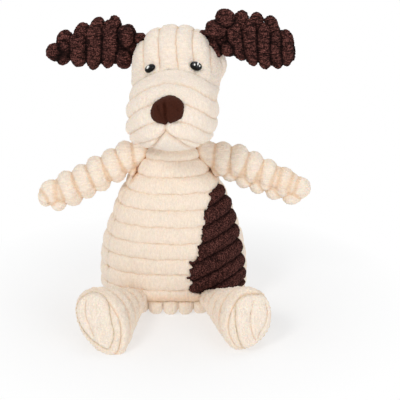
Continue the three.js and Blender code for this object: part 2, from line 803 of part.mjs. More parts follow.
function buildHeadPieces() {
  const front = halfSpace.before(headSeamY - halfGap);
  const openings = [neckCup, ...Object.values(eyeSeats).map(eyeHole)];
  const open = (solid) => openings.reduce((left, opening) => left.subtract(opening), solid);
  const muzzleCloth = open(muzzleSkin.subtract(headInside)).intersect(front).subtract(browPlane(-halfGap));
  const browCloth = open(browSkin.subtract(headInside));
  const chinMargin = seamGap;
  let stuffing = headFill.subtract(neckCup);
  for (const seat of Object.values(eyeSeats)) {
    stuffing = stuffing.subtract(eyePocket(seat));
  }
  const pieces = [
    piece('head_forehead_panel', browCloth.intersect(front).intersect(browPlane(halfGap)), 'headCream'),
    piece('head_back_panel', browCloth.intersect(halfSpace.behind(headSeamY + halfGap)), 'headCream'),
    piece('head_muzzle_panel', muzzleCloth.subtract(chinPrism(chinMargin)), 'headCream'),
    piece('head_chin_panel', muzzleCloth.intersect(chinPrism(0)), 'chinWhite'),
    piece('head_stuffing', stuffing, 'stuffing'),
    piece('nose', noseSolid(), 'noseSatin'),
  ];
  for (const [name, seat] of Object.entries(eyeSeats)) {
    pieces.push(piece(`eye_${name}`, eyeSolid(seat), 'bead'));
    pieces.push(piece(`eye_washer_${name}`, washerSolid(seat), 'washer'));
  }
  return pieces;
}

// Ears, each made in its own frame: along the ear, square to it in its plane, and out of its front

function earFrame(side) {
  const along = toVector(side * Math.cos(earDroop), 0, -Math.sin(earDroop));
  const front = axisY.clone().negate();
  const upwards = axisZ.clone().addScaledVector(along, -axisZ.dot(along)).normalize();
  const length = earLength * (side > 0 ? leftEarLengthShare : 1);
  const root = toVector(headMidX, headSeamY, craniumHeart.z + earSeamShare * craniumHalfHeight);
  const outwards = axisX.clone().multiplyScalar(side);
  const skin = reachInside(headDistance, root, outwards) + headWaleDepth + facetAllowance;
  root.addScaledVector(outwards, skin);
  return { along, front, upwards, length, root };
}

function earSolid(side) {
  const { along, front, upwards, length, root } = earFrame(side);
  const tops = side > 0 ? leftEarTopShares : rightEarTopShares;
  const bottoms = side > 0 ? leftEarBottomShares : rightEarBottomShares;
  const rowAt = (share) => {
    const dip = earWaleDepth * (1 - readTable(earRowShares, earGrooveShares, share));
    const top = readTable(earRowShares, tops, share) * earWidth - dip;
    const bottom = readTable(earRowShares, bottoms, share) * earWidth + dip;
    const plump = (readTable(earRowShares, earPlumpShares, share) * earThickness) / 2 - dip;
    const centre = root.clone().addScaledVector(along, share * length);
    centre.addScaledVector(upwards, (top + bottom) / 2);
    return Array.from({ length: earSides }, (_, step) => {
      const angle = (2 * Math.PI * step) / earSides;
      const bulge = (wave) => Math.sign(wave) * Math.abs(wave) ** (2 / earSquareness);
      return centre.clone()
        .addScaledVector(upwards, (bulge(Math.cos(angle)) * (top - bottom)) / 2)
        .addScaledVector(front, bulge(Math.sin(angle)) * plump);
    });
  };
  const rings = earRowShares.map(rowAt);
  const middleOf = (ring) => {
    const sum = ring.reduce((total, point) => total.add(point), toVector(0, 0, 0));
    return sum.divideScalar(ring.length);
  };
  const tip = middleOf(rings.at(-1)).addScaledVector(along, length * (1 - earRowShares.at(-1)));
  return toSolid(closedSkin(rings, middleOf(rings[0]), tip));
}

function earFilmSolid(side) {
  const { along, front, upwards, length, root } = earFrame(side);
  const tops = side > 0 ? leftEarTopShares : rightEarTopShares;
  const bottoms = side > 0 ? leftEarBottomShares : rightEarBottomShares;
  const edge = (table, inset) => earFilmShares.map((share) => (
    new THREE.Vector2(share * length, readTable(earRowShares, table, share) * earWidth + inset)
  ));
  const outline = new THREE.Shape([...edge(bottoms, earFilmInset), ...edge(tops, -earFilmInset).reverse()]);
  const geometry = new THREE.ExtrudeGeometry(outline, { depth: earFilmThickness, bevelEnabled: false });
  const outwards = side > 0 ? front : front.clone().negate();
  const placement = new THREE.Matrix4().makeBasis(along, upwards, outwards);
  placement.setPosition(root.clone().addScaledVector(outwards, -earFilmThickness / 2));
  return toSolid(geometry, placement);
}

function buildEar(name, side) {
  const { root } = earFrame(side);
  const seam = toVector(-side * Math.sin(earSeamLean), 0, Math.cos(earSeamLean));
  const hinge = side > 0 ? seam.clone().negate() : seam;
  const trim = (solid) => trimmedThroughSweep(solid, headEnvelope, root, hinge, -earBackward, earForward);
  const whole = trim(earSolid(side));
  const lining = earFilmThickness / 2 + seamGap;
  const pieces = [
    piece(`ear_${name}_front`, whole.intersect(halfSpace.before(headSeamY - lining)), 'brown'),
    piece(`ear_${name}_back`, whole.intersect(halfSpace.behind(headSeamY + lining)), 'brown'),
    piece(`ear_${name}_film`, trim(earFilmSolid(side)), 'film'),
  ];
  return pieces;
}

// Arms: a chain of fat wales round a tapered, drooping core

function armPoint(side, along, rootDroop, tipDroop) {
  const droop = THREE.MathUtils.lerp(rootDroop, tipDroop, along / armLength / 2);
  const flat = Math.cos(droop) * along;
  return toVector(
    side * (armRootX + flat * Math.cos(armForwardAngle)),
    armRootY - flat * Math.sin(armForwardAngle),
    shoulderHeight + armRootRise - Math.sin(droop) * along,
  );
}

function armForm(side, rootDroop, tipDroop, radiusAt, rows) {
  const tip = armLength - (rows.inset ?? 0);
  const rings = rows.places.map(({ place, height }) => {
    const centre = armPoint(side, place, rootDroop, tipDroop);
    const ahead = armPoint(side, place + slopeStep, rootDroop, tipDroop).sub(centre).normalize();
    const across = axisY.clone().cross(ahead).normalize();
    const up = ahead.clone().cross(across);
    return Array.from({ length: armSides }, (_, step) => {
      const angle = (2 * Math.PI * step) / armSides;
      const radius = radiusAt(place, height);
      return centre.clone()
        .addScaledVector(across, Math.cos(angle) * radius)
        .addScaledVector(up, Math.sin(angle) * radius);
    });
  });
  const lowPole = armPoint(side, rows.places[0].place, rootDroop, tipDroop);
  return toSolid(closedSkin(rings, lowPole, armPoint(side, tip, rootDroop, tipDroop)));
}

function armRadiusAt(place) {
  const taper = THREE.MathUtils.lerp(1, armTaperShare, THREE.MathUtils.clamp(place / armLength, 0, 1));
  const gather = THREE.MathUtils.lerp(armRootShare, 1, THREE.MathUtils.clamp(place / armFirstGroove, 0, 1));
  return armRadius * taper * gather;
}

// The wales of an arm, from its gathered root to the lobe at its tip.
function armRows() {
  const wales = Math.floor((armLength - armFirstGroove) / armWalePitch - armTipShare);
  const lastGroove = armFirstGroove + wales * armWalePitch;
  const rows = [{ place: armFirstGroove - armWalePitch, height: 0 }];
  for (let wale = -1; wale < wales; wale += 1) {
    waleRowShares.forEach((share, row) => {
      rows.push({ place: armFirstGroove + (wale + share) * armWalePitch, height: waleHeightShares[row] });
    });
  }
  const rest = armLength - lastGroove;
  rows.push({ place: lastGroove, height: 0 });
  rows.push({ place: lastGroove + rest * waleRowShares[1], height: 1 });
  rows.push({ place: lastGroove + rest * armTipShare, height: armTipShare });
  return rows.slice(1);
}

function buildArm(name, side, rootDroop, tipDroop) {
  const coreRadiusAt = (place) => armRadiusAt(place) - armWaleDepth;
  const skinRadiusAt = (place, height) => coreRadiusAt(place) + height * armWaleDepth;
  const skin = armForm(side, rootDroop, tipDroop, skinRadiusAt, { places: armRows() });
  const plain = (inset) => {
    const tip = armLength - inset;
    const root = armFirstGroove - armWalePitch;
    const stations = [root, armFirstGroove, tip / 2, tip - armRadius, tip - armRadius / 3];
    const places = stations.map((place) => ({ place, height: 0 }));
    const lastPlace = places.at(-1).place;
    const radiusAt = (place) => (coreRadiusAt(place) - inset) * (place === lastPlace ? armTipShare : 1);
    return armForm(side, rootDroop, tipDroop, radiusAt, { places, inset });
  };
  const hinge = armHinge(side, rootDroop, tipDroop);
  const limits = side > 0 ? [-armRaise, armLower] : [-armLower, armRaise];
  const trim = (solid) => trimmedThroughSweep(solid, bodyEnvelope, hinge, axisY, ...limits);
  return [
    piece(`arm_${name}_cover`, trim(skin.subtract(plain(armClothThickness))), 'cream'),
    piece(`arm_${name}_stuffing`, trim(plain(armClothThickness + seamGap)), 'stuffing'),
  ];
}

function armHinge(side, rootDroop, tipDroop) {
  return armPoint(side, armHingeReach, rootDroop, tipDroop);
}

// Legs: flared tubes that end in an oval sole

function legFrame(side, tilt) {
  const splay = side > 0 ? leftLegSplay : rightLegSplay;
  const forward = toVector(
    side * Math.sin(splay) * Math.cos(legRise),
    -Math.cos(splay) * Math.cos(legRise),
    Math.sin(legRise),
  );
  const lean = axisZ.clone().multiplyScalar(Math.cos(tilt)).addScaledVector(axisX, side * Math.sin(tilt));
  const tall = lean.addScaledVector(forward, -lean.dot(forward)).normalize();
  const wide = forward.clone().cross(tall).normalize();
  return { forward, tall, wide, root: toVector(side * legRootX, legRootY, legRootHeight) };
}

function legForm(side, tilt, inset) {
  const { forward, tall, wide, root } = legFrame(side, tilt);
  const rings = legRowShares.map((share, row) => {
    const place = share * (legLength - inset);
    const centre = root.clone().addScaledVector(forward, place);
    const halfTall = legTallShares[row] * footHalfHeight - inset;
    const halfWide = legWideShares[row] * footHalfWidth - inset;
    return Array.from({ length: legSides }, (_, step) => {
      const angle = (2 * Math.PI * step) / legSides;
      return centre.clone()
        .addScaledVector(tall, Math.cos(angle) * halfTall)
        .addScaledVector(wide, Math.sin(angle) * halfWide);
    });
  });
  const lowPole = root.clone().addScaledVector(forward, legRowShares[0] * legLength);
  const highPole = root.clone().addScaledVector(forward, legLength - inset);
  return toSolid(closedSkin(rings, lowPole, highPole));
}

function buildLeg(name, side, tilt) {
  const { forward, root } = legFrame(side, tilt);
  const hinge = legHinge(side);
  const standing = (inset) => legForm(side, tilt, inset).intersect(halfSpace.above(floorClearance + inset));
  const trim = (solid) => trimmedThroughSweep(solid, bodyEnvelope, hinge, axisX.clone().negate(), 0, legLift);
  const soleAt = root.clone().addScaledVector(forward, legLength - soleThickness);
  const beyondSole = (offset) => beyondPlane(soleAt.clone().addScaledVector(forward, offset), forward);
  const shell = trim(standing(0).subtract(standing(clothThickness)));
  return [
    piece(`leg_${name}_cover`, shell.subtract(beyondSole(-halfGap)), 'cream'),
    piece(`leg_${name}_sole`, shell.intersect(beyondSole(halfGap)), 'cream'),
    piece(`leg_${name}_stuffing`, trim(standing(clothThickness + seamGap)), 'stuffing'),
  ];
}

function legHinge(side) {
  return toVector(side * legRootX, -bodyHalfDepth, legRootHeight + legHingeRise);
}

// The toy

const toy = new THREE.Group();
toy.add(buildTorso(), neckThreadPiece());

const head = new THREE.Group();
head.rotation.z = headTurn;
head.add(...buildHeadPieces(), ...buildEar('left', 1), ...buildEar('right', -1));
toy.add(head);

toy.add(
  ...buildArm('left', 1, leftArmRootDroop, leftArmTipDroop),
  ...buildArm('right', -1, rightArmRootDroop, rightArmTipDroop),
  ...buildLeg('left', 1, leftFootTilt),
  ...buildLeg('right', -1, rightFootTilt),
);

export default toy;
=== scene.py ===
# A sitting plush dog toy of wide-wale corduroy plush, photographed from the front on white.
# Lengths in the settings are millimetres and angles are degrees. Meshes are made in metres.
# Left and right are the toy's own: its left is +X, and its face looks to -Y.

import math

import bpy
import numpy as np
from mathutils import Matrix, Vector


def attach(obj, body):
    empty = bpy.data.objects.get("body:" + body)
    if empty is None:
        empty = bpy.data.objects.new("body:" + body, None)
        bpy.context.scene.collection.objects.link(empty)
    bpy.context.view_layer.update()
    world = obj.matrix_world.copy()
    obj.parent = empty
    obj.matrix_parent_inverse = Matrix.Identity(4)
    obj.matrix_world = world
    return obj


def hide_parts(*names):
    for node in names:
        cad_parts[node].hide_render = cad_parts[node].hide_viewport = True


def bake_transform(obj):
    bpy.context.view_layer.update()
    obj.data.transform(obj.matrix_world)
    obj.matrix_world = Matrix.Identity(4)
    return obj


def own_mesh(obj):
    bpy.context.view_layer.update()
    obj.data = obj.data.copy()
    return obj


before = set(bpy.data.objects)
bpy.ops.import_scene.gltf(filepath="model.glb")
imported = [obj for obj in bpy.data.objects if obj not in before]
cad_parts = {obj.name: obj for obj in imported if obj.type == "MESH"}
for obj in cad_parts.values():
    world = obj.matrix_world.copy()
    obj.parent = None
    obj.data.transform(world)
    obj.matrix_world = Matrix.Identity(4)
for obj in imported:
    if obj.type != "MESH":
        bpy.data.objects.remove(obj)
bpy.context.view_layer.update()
metre = 0.001


# Numbers: tables, noise and distances

def readTable(places, values, at):
    places = np.asarray(places, float)
    values = np.asarray(values, float)
    at = np.clip(at, places[0], places[-1])
    low = np.clip(np.searchsorted(places, at, side="right") - 1, 0, len(places) - 2)
    before = np.maximum(np.arange(len(places)) - 1, 0)
    after = np.minimum(np.arange(len(places)) + 1, len(places) - 1)
    slopes = (values[after] - values[before]) / (places[after] - places[before])
    width = places[low + 1] - places[low]
    t = (at - places[low]) / width
    rise = values[low + 1] - values[low]
    start = slopes[low] * width
    end = slopes[low + 1] * width
    return values[low] + t * (start + t * (3 * rise - 2 * start - end + t * (start + end - 2 * rise)))


# From 0 at one limit to 1 at the other
def smooth(low, high, value):
    t = np.clip((value - low) / (high - low), 0, 1)
    return t * t * (3 - 2 * t)


# 1 at nought, fading to nothing past about twice the width
def bell(value, width):
    return np.exp(-(value / width) ** 2)


# A whole number for each cell, mixed up bit by bit, as a share of the largest one
hashing = {
    "axes": (73856093, 19349663, 83492791), "seed": 2654435761, "largest": 0xFFFFFFFF,
    "rounds": ((15, 2246822519), (13, 3266489917)), "lastShift": 16,
}


def hashed(cells, seed):
    x, y, z = (cells[..., axis] * factor for axis, factor in enumerate(hashing["axes"]))
    largest = np.uint64(hashing["largest"])
    whole = (x ^ y ^ z ^ (seed * hashing["seed"])).astype(np.uint64) & largest
    for shift, factor in hashing["rounds"]:
        whole = (whole ^ (whole >> np.uint64(shift))) * np.uint64(factor) & largest
    return (whole ^ (whole >> np.uint64(hashing["lastShift"]))).astype(float) / hashing["largest"]


def softNoise(points, scale, seed):
    spots = points / np.asarray(scale, float)
    cells = np.floor(spots).astype(np.int64)
    t = spots - cells
    t = t * t * (3 - 2 * t)
    total = np.zeros(points.shape[:-1])
    for corner in range(8):
        step = np.array([corner & 1, corner >> 1 & 1, corner >> 2 & 1])
        weight = np.prod(np.where(step == 1, t, 1 - t), axis=-1)
        total += weight * hashed(cells + step, seed)
    return total * 2 - 1


# Several noises in one: each layer is its height, its scale and its seed
def layered(points, layers):
    return sum(height * softNoise(points, scale, seed) for height, scale, seed in layers)


# Round tufts with narrow gaps between them: the distance to the nearest of scattered points
def tuftNoise(points, scale, seed, margin=0.1):
    spots = points / scale
    cells = np.floor(spots).astype(np.int64)
    near = np.ones(points.shape[:-1])
    for step in np.ndindex(3, 3, 3):
        cell = cells + np.array(step) - 1
        heart = np.stack([hashed(cell, seed + axis) for axis in range(3)], axis=-1)
        heart = heart * (1 - 2 * margin) + margin
        near = np.minimum(near, np.linalg.norm(cell + heart - spots, axis=-1))
    return 1 - near


def superellipsoid(points, centre, radii, squareness):
    radii = np.asarray(radii, float)
    shares = np.abs(points - np.asarray(centre, float)) / radii
    gauge = np.maximum((shares ** squareness).sum(-1), 1e-12) ** (1 / squareness)
    slopes = (shares / gauge[..., None]) ** (squareness - 1) / radii
    return (gauge - 1) / np.maximum(np.linalg.norm(slopes, axis=-1), 1e-9)


def ballDistance(points, centre, radius):
    return np.linalg.norm(points - np.array(centre), axis=-1) - radius


# Where rays from inside a form meet its surface, found by halving
def surfaceAlong(distance, starts, ways, reach=130.0, halvings=24):
    near = np.zeros(starts.shape[:-1])
    far = np.full(starts.shape[:-1], reach)
    for _ in range(halvings):
        middle = (near + far) / 2
        inside = distance(starts + ways * middle[..., None]) < 0
        near = np.where(inside, middle, near)
        far = np.where(inside, far, middle)
    return starts + ways * near[..., None]


def outwards(distance, points, step):
    slope = np.zeros_like(points)
    for axis in range(3):
        shift = np.zeros(3)
        shift[axis] = step
        slope[..., axis] = distance(points + shift) - distance(points - shift)
    return slope / np.maximum(np.linalg.norm(slope, axis=-1, keepdims=True), 1e-9)


def unit(vector):
    vector = np.asarray(vector, float)
    return vector / np.linalg.norm(vector, axis=-1, keepdims=True)


# A wale's round back: 0 in the groove and 1 along its crest
def waleBack(phase, power):
    across = np.abs(2 * (phase - np.floor(phase)) - 1)
    return np.sqrt(np.clip(1 - across ** power, 0, 1))


# Counts wales between grooves that stand at these levels, and evenly past the last ones
def wale(levels, value, power):
    levels = np.asarray(levels, float)
    phase = np.interp(value, levels, np.arange(len(levels)))
    phase = phase + np.minimum(value - levels[0], 0) / (levels[1] - levels[0])
    phase = phase + np.maximum(value - levels[-1], 0) / (levels[-1] - levels[-2])
    return waleBack(phase, power)


# A wale's height, from its dip between two crests to its crest
def relief(facts, back):
    return back * (facts["crest"] + facts["dip"]) - facts["dip"]


# The pile: round tufts, the fluff on them, slow unevenness and combed strokes
pile = {
    "tuft": 1.05, "tuftDepth": 0.42, "tuftSeed": 7,
    "fluff": 0.55, "fluffDepth": 0.2, "fluffSeed": 31,
    "clump": 3.1, "clumpDepth": 0.14, "clumpSeed": 57,
    "acrossWales": 0.8, "alongPile": 2.6, "strokeDepth": 0.3, "strokeSeed": 83,
}


# How high the pile stands. Its strokes are combed along one axis of the object, across the wales.
def pileHeight(points, seed, share, combed):
    lengths = [pile["alongPile"] if axis == combed else pile["acrossWales"] for axis in range(3)]
    tufts = tuftNoise(points, pile["tuft"], seed + pile["tuftSeed"]) - 0.5
    softer = layered(points, [
        (pile["fluffDepth"], pile["fluff"], seed + pile["fluffSeed"]),
        (pile["clumpDepth"], pile["clump"], seed + pile["clumpSeed"]),
        (pile["strokeDepth"], lengths, seed + pile["strokeSeed"]),
    ])
    return share * (pile["tuftDepth"] * tufts + softer)


# How far (u, v) is from an open line of points
def lineGap(line, u, v):
    nearest = np.full(u.shape, np.inf)
    for (au, av), (bu, bv) in zip(line, line[1:]):
        length = (bu - au) ** 2 + (bv - av) ** 2
        t = np.clip(((u - au) * (bu - au) + (v - av) * (bv - av)) / length, 0, 1)
        nearest = np.minimum(nearest, np.hypot(u - au - t * (bu - au), v - av - t * (bv - av)))
    return nearest


# Positive inside a closed outline of (u, v) points, in their lengths
def outlineField(outline, u, v):
    loop = outline + outline[:1]
    inside = np.zeros(u.shape, bool)
    for (au, av), (bu, bv) in zip(loop, loop[1:]):
        if av != bv:
            inside ^= ((av > v) != (bv > v)) & (u < (bu - au) * (v - av) / (bv - av) + au)
    gap = lineGap(loop, u, v)
    return np.where(inside, gap, -gap)


# Cuts the corners of a closed outline until it is a smooth curve
def rounded(outline, times):
    for _ in range(times):
        following = outline[1:] + outline[:1]
        outline = [
            (a[0] * (1 - share) + b[0] * share, a[1] * (1 - share) + b[1] * share)
            for a, b in zip(outline, following) for share in (0.25, 0.75)
        ]
    return outline


# Meshes

def addObject(name, mesh):
    thing = bpy.data.objects.new(name, mesh)
    bpy.context.scene.collection.objects.link(thing)
    return thing


def writePoints(mesh, points, values):
    mesh.vertices.foreach_set("co", (points * metre).astype(np.float32).ravel())
    mesh.polygons.foreach_set("use_smooth", np.ones(len(mesh.polygons), bool))
    for key, value in values.items():
        mesh.attributes.new(key, "FLOAT", "POINT").data.foreach_set("value", value.astype(np.float32))
    mesh.update()


def makeMesh(name, points, faces, values):
    mesh = bpy.data.meshes.new(name)
    mesh.vertices.add(len(points))
    corners = np.concatenate([block.ravel() for block in faces if len(block)])
    sizes = np.concatenate([np.full(len(block), block.shape[1]) for block in faces if len(block)])
    starts = np.concatenate([[0], np.cumsum(sizes)[:-1]])
    mesh.loops.add(len(corners))
    mesh.loops.foreach_set("vertex_index", corners.astype(np.int32))
    mesh.polygons.add(len(sizes))
    mesh.polygons.foreach_set("loop_start", starts.astype(np.int32))
    mesh.update(calc_edges=True)
    writePoints(mesh, points, values)
    return addObject(name, mesh)


def readPoints(mesh):
    places = np.zeros(len(mesh.vertices) * 3, np.float32)
    ways = np.zeros(len(mesh.vertices) * 3, np.float32)
    mesh.vertices.foreach_get("co", places)
    mesh.vertex_normals.foreach_get("vector", ways)
    return places.reshape(-1, 3).astype(float) / metre, ways.reshape(-1, 3).astype(float)


# Gives an object the mesh that its modifiers make, and removes them
def settle(thing):
    graph = bpy.context.evaluated_depsgraph_get()
    mesh = bpy.data.meshes.new_from_object(thing.evaluated_get(graph))
    thing.modifiers.clear()
    thing.data = mesh


# Joins a ring of grid rows and columns into quads. Columns run round.
def gridQuads(rows, columns):
    index = np.arange(rows * columns).reshape(rows, columns)
    beside = np.roll(index, -1, axis=1)
    return index, beside, np.stack([index[:-1], beside[:-1], beside[1:], index[1:]], axis=-1).reshape(-1, 4)


# A piece of cloth from a grid of points: the kept cells, with every open edge folded in.
# Its first and last rows close at a pole, where they are kept. The first row is the low end.
def clothPiece(name, grid, normals, values, keep, fold=2.2):
    rows, columns = grid.shape[:2]
    index, beside, quads = gridQuads(rows, columns)
    both = keep & np.roll(keep, -1, axis=1)
    quads = quads[(both[:-1] & both[1:]).ravel()]
    points = grid.reshape(-1, 3)
    ways = normals.reshape(-1, 3)
    flat = {key: value.ravel() for key, value in values.items()}
    triangles = []
    for end in (0, rows - 1):
        if keep[end].all():
            centre = len(points)
            points = np.vstack([points, grid[end].mean(axis=0)])
            ways = np.vstack([ways, unit(normals[end].mean(axis=0))])
            flat = {key: np.append(value, value[index[end]].mean()) for key, value in flat.items()}
            ring = [beside[end], index[end]] if end == 0 else [index[end], beside[end]]
            triangles.append(np.stack([*ring, np.full(columns, centre)], axis=-1))
    triangles = np.vstack(triangles) if triangles else np.zeros((0, 3), int)
    edges = np.vstack([
        faces[:, [corner, (corner + 1) % faces.shape[1]]]
        for faces in (quads, triangles) for corner in range(faces.shape[1])
    ])
    total = len(points)
    forward = edges[:, 0] * total + edges[:, 1]
    backward = edges[:, 1] * total + edges[:, 0]
    rim = edges[~np.isin(forward, backward)]
    rimPoints = np.unique(rim)
    if len(rimPoints):
        inner = np.full(total, -1)
        inner[rimPoints] = total + np.arange(len(rimPoints))
        points = np.vstack([points, points[rimPoints] - ways[rimPoints] * fold])
        flat = {key: np.append(value, value[rimPoints] * 0) for key, value in flat.items()}
        folds = np.stack([rim[:, 1], rim[:, 0], inner[rim[:, 0]], inner[rim[:, 1]]], axis=-1)
        quads = np.vstack([quads, folds])
    used = np.unique(np.concatenate([quads.ravel(), triangles.ravel()]))
    order = np.full(len(points), -1)
    order[used] = np.arange(len(used))
    flat = {key: value[used] for key, value in flat.items()}
    return makeMesh(name, points[used], [order[quads], order[triangles]], flat)


# Moves the points near a border of the piece onto it, along the surface, where its field is steep enough
def snapped(grid, normals, field, reach, step=0.05, steep=0.05):
    value = field(grid)
    rises = [field(grid + way * step) - field(grid - way * step) for way in np.eye(3)]
    slope = np.stack(rises, axis=-1) / (2 * step)
    slope -= (slope * normals).sum(-1, keepdims=True) * normals
    size = (slope ** 2).sum(-1)
    near = (np.abs(value) < reach) & (size > steep)
    shift = np.where(near, -value / np.maximum(size, steep), 0)
    return grid + slope * shift[..., None]


# At a seam the cloth keeps these shares of its relief and pile. A reach is how far a change goes from it.
sewing = {
    "reliefShare": 0.55, "pileShare": 0.4, "flatReach": 2.6, "drawReach": 1.0, "shadeReach": 2.2,
    "overrun": 0.02,
}


# From a share at the seam to the whole
def grown(share, edge):
    return share + (1 - share) * edge


# A panel: the part of a form inside all its borders, with its wales, pile and drawn-in seams.
# A border is its field, how deep its seam draws the cloth in, and how much the seam darkens it.
def panel(name, form, borders, height, seed, flatten=None, after=None, share=1.0, combed=2, paintedShade=None):
    grid, normals = form["grid"], form["normals"]
    for field, depth, dark in borders:
        grid = snapped(grid, normals, field, form["cell"])
    gaps = [field(grid) for field, depth, dark in borders]
    inside = np.min(gaps, axis=0)
    keep = inside > -sewing["overrun"]
    raised, crest = height(grid)
    edge = smooth(0, sewing["flatReach"], inside)
    lift = raised * grown(sewing["reliefShare"], edge)
    # Painted shade, when given, goes into the seam attribute along with the seams' own darkening
    seam = paintedShade(grid) if paintedShade else np.zeros(inside.shape)
    for gap, (field, depth, dark) in zip(gaps, borders):
        lift = lift - depth * bell(np.maximum(gap, 0), sewing["drawReach"])
        seam = np.maximum(seam, dark * smooth(sewing["shadeReach"], 0, gap))
    lift = lift + pileHeight(grid, seed, share, combed) * grown(sewing["pileShare"], edge)
    points = grid + normals * lift[..., None]
    if flatten:
        points = flatten(points, crest)
    if after:
        points, normals = after(points), after(normals)
    return clothPiece(name, points, normals, {"crest": crest, "seam": seam}, keep)


# A lobe: a closed swollen roll of cloth between two ends, as deep towards the front as it says, and bowed
def lobe(low, high, across, deep, power, bow=(0, 0, 0)):
    low, high = np.array(low, float), np.array(high, float)
    way = unit(high - low)
    ahead = np.array([0, -1.0, 0])
    front = unit(ahead - way * (ahead @ way))
    return {
        "centre": (low + high) / 2, "half": np.linalg.norm(high - low) / 2, "way": way, "front": front,
        "side": np.cross(way, front), "across": across, "deep": deep, "power": power,
        "bow": np.array(bow, float),
    }


# About how far points are outside a lobe. When flat, how far they are outside its outline.
def lobeGauge(points, roll, flat=False):
    offset = points - roll["centre"]
    t = np.clip(offset @ roll["way"] / roll["half"], -3, 3)
    offset = offset - roll["bow"] * np.clip(1 - t * t, 0, 1)[:, None]
    ring = (offset @ roll["side"] / roll["across"]) ** 2
    if not flat:
        ring = ring + (offset @ roll["front"] / roll["deep"]) ** 2
    return (np.sqrt(np.abs(t) ** roll["power"] + ring) - 1) * roll["across"]


# Lobes fused into one closed skin. Its crest is 1 on the lobes and 0 in the creases between them.
def fusedLobes(name, lobes, voxel, softening, rings=21, around=28, creaseReach=2.4):
    points, quads, triangles = [], [], []
    turn = np.linspace(0, 2 * math.pi, around, endpoint=False)
    for roll in lobes:
        t = np.sin(np.linspace(-math.pi / 2, math.pi / 2, rings + 2)[1:-1])
        radius = np.sqrt(np.clip(1 - np.abs(t) ** roll["power"], 0, 1))
        spine = roll["centre"] + roll["way"] * (t * roll["half"])[:, None]
        spine = spine + roll["bow"] * (1 - t * t)[:, None]
        ring = np.cos(turn)[:, None] * roll["front"] * roll["deep"]
        ring = ring + np.sin(turn)[:, None] * roll["side"] * roll["across"]
        skin = spine[:, None] + radius[:, None, None] * ring
        base = sum(len(block) for block in points)
        ends = [roll["centre"] - roll["way"] * roll["half"], roll["centre"] + roll["way"] * roll["half"]]
        points.append(np.vstack([skin.reshape(-1, 3), ends]))
        index, beside, faces = gridQuads(rings, around)
        quads.append(faces + base)
        low = rings * around
        triangles.append(np.stack([beside[0], index[0], np.full(around, low)], axis=-1) + base)
        triangles.append(np.stack([index[-1], beside[-1], np.full(around, low + 1)], axis=-1) + base)
    thing = makeMesh(name, np.vstack(points), [np.vstack(quads), np.vstack(triangles)], {})
    fuse = thing.modifiers.new("fuse", "REMESH")
    fuse.mode = "VOXEL"
    fuse.voxel_size = voxel * metre
    soften = thing.modifiers.new("soften", "SMOOTH")
    soften.factor = 0.5
    soften.iterations = softening
    settle(thing)
    places, ways = readPoints(thing.data)
    gauges = np.sort(np.stack([lobeGauge(places, roll) for roll in lobes]), axis=0)
    return thing, places, ways, smooth(0, creaseReach, gauges[1] - gauges[0])


# Materials

# Each plush's own colour on its wales' crests, the painted shade that fills its grooves and darkens its
# seams, and the paler painted highlight on its tufts' tips, which also tints its sheen
shades = {
    "cream": {"crest": (0.915, 0.78, 0.65), "groove": (0.84, 0.63, 0.455), "tip": (0.97, 0.87, 0.765)},
    "headCream": {"crest": (0.905, 0.78, 0.66), "groove": (0.80, 0.60, 0.43), "tip": (0.955, 0.86, 0.765)},
    "chin": {"crest": (0.87, 0.76, 0.655), "groove": (0.80, 0.63, 0.48), "tip": (0.93, 0.86, 0.78)},
    "sole": {"crest": (0.915, 0.79, 0.67), "groove": (0.82, 0.62, 0.45), "tip": (0.97, 0.88, 0.785)},
    "brown": {
        "crest": (0.037, 0.0117, 0.0098), "groove": (0.0062, 0.002, 0.0018), "tip": (0.185, 0.07, 0.058),
    },
}

# Painted shade for a fold where two pieces press together, darker still than the painted shade of a groove
paintedFoldShade = (0.50, 0.33, 0.22)

# Noise scales that draw the pile out into strokes along z, or level ones
combings = {"upright": (1.0, 1.0, 0.3), "level": (0.3, 0.3, 1.0)}

# The plush's noises. Each limit is where a noise starts and stops showing.
plush = {
    "tufts": 1500.0,
    "fluff": {"Scale": 1800.0, "Detail": 4.0, "Roughness": 0.65},
    "clumps": {"Scale": 260.0, "Detail": 3.0, "Roughness": 0.6},
    "strokes": {"Scale": 1150.0, "Detail": 2.0, "Roughness": 0.6},
    "rootLimits": (0.45, 0.9), "clumpLimits": (0.3, 0.7), "strokeLimits": (0.4, 0.6), "tipStart": 0.05,
    "bump": 0.0005, "roughness": 0.92, "specular": 0.08, "sheenRoughness": 0.45,
    "glowRadius": (1.0, 0.6, 0.35), "glowScale": 0.0022,
}

# How pale and dark plush differ: how strong the painted highlight on the tufts' tips and the painted shade at
# their roots show, how far the grooves' painted shade reaches, and how uneven it is
pale = {
    "tips": 0.6, "tipEnd": 0.75, "roots": 0.1, "valley": 0.55, "unevenness": (0.985, 1.01), "rough": 0.45,
    "sheen": 0.25, "glow": 0.2,
}
dark = {
    "tips": 0.9, "tipEnd": 0.6, "roots": 0.7, "valley": 0.85, "unevenness": (0.85, 1.15), "rough": 0.6,
    "sheen": 0.03, "glow": 0,
}


# Gives each input a value, or a link from another node's output. An input goes by its name or its number.
def feed(tree, node, inputs):
    for key, value in inputs.items():
        socket = node.inputs[key.replace("_", " ") if isinstance(key, str) else key]
        if hasattr(value, "is_output"):
            tree.links.new(value, socket)
        else:
            socket.default_value = value
    return node


def addNode(tree, kind, settings=None, **inputs):
    node = tree.nodes.new(kind)
    for key, value in (settings or {}).items():
        setattr(node, key, value)
    return feed(tree, node, inputs)


# A material with only its shader, and the place that its patterns read
def newMaterial(name):
    material = bpy.data.materials.new(name)
    material.use_nodes = True
    tree = material.node_tree
    place = tree.nodes.new("ShaderNodeTexCoord").outputs["Object"]
    return material, tree, tree.nodes["Principled BSDF"], place


def attribute(tree, name):
    return addNode(tree, "ShaderNodeAttribute", {"attribute_name": name}).outputs["Fac"]


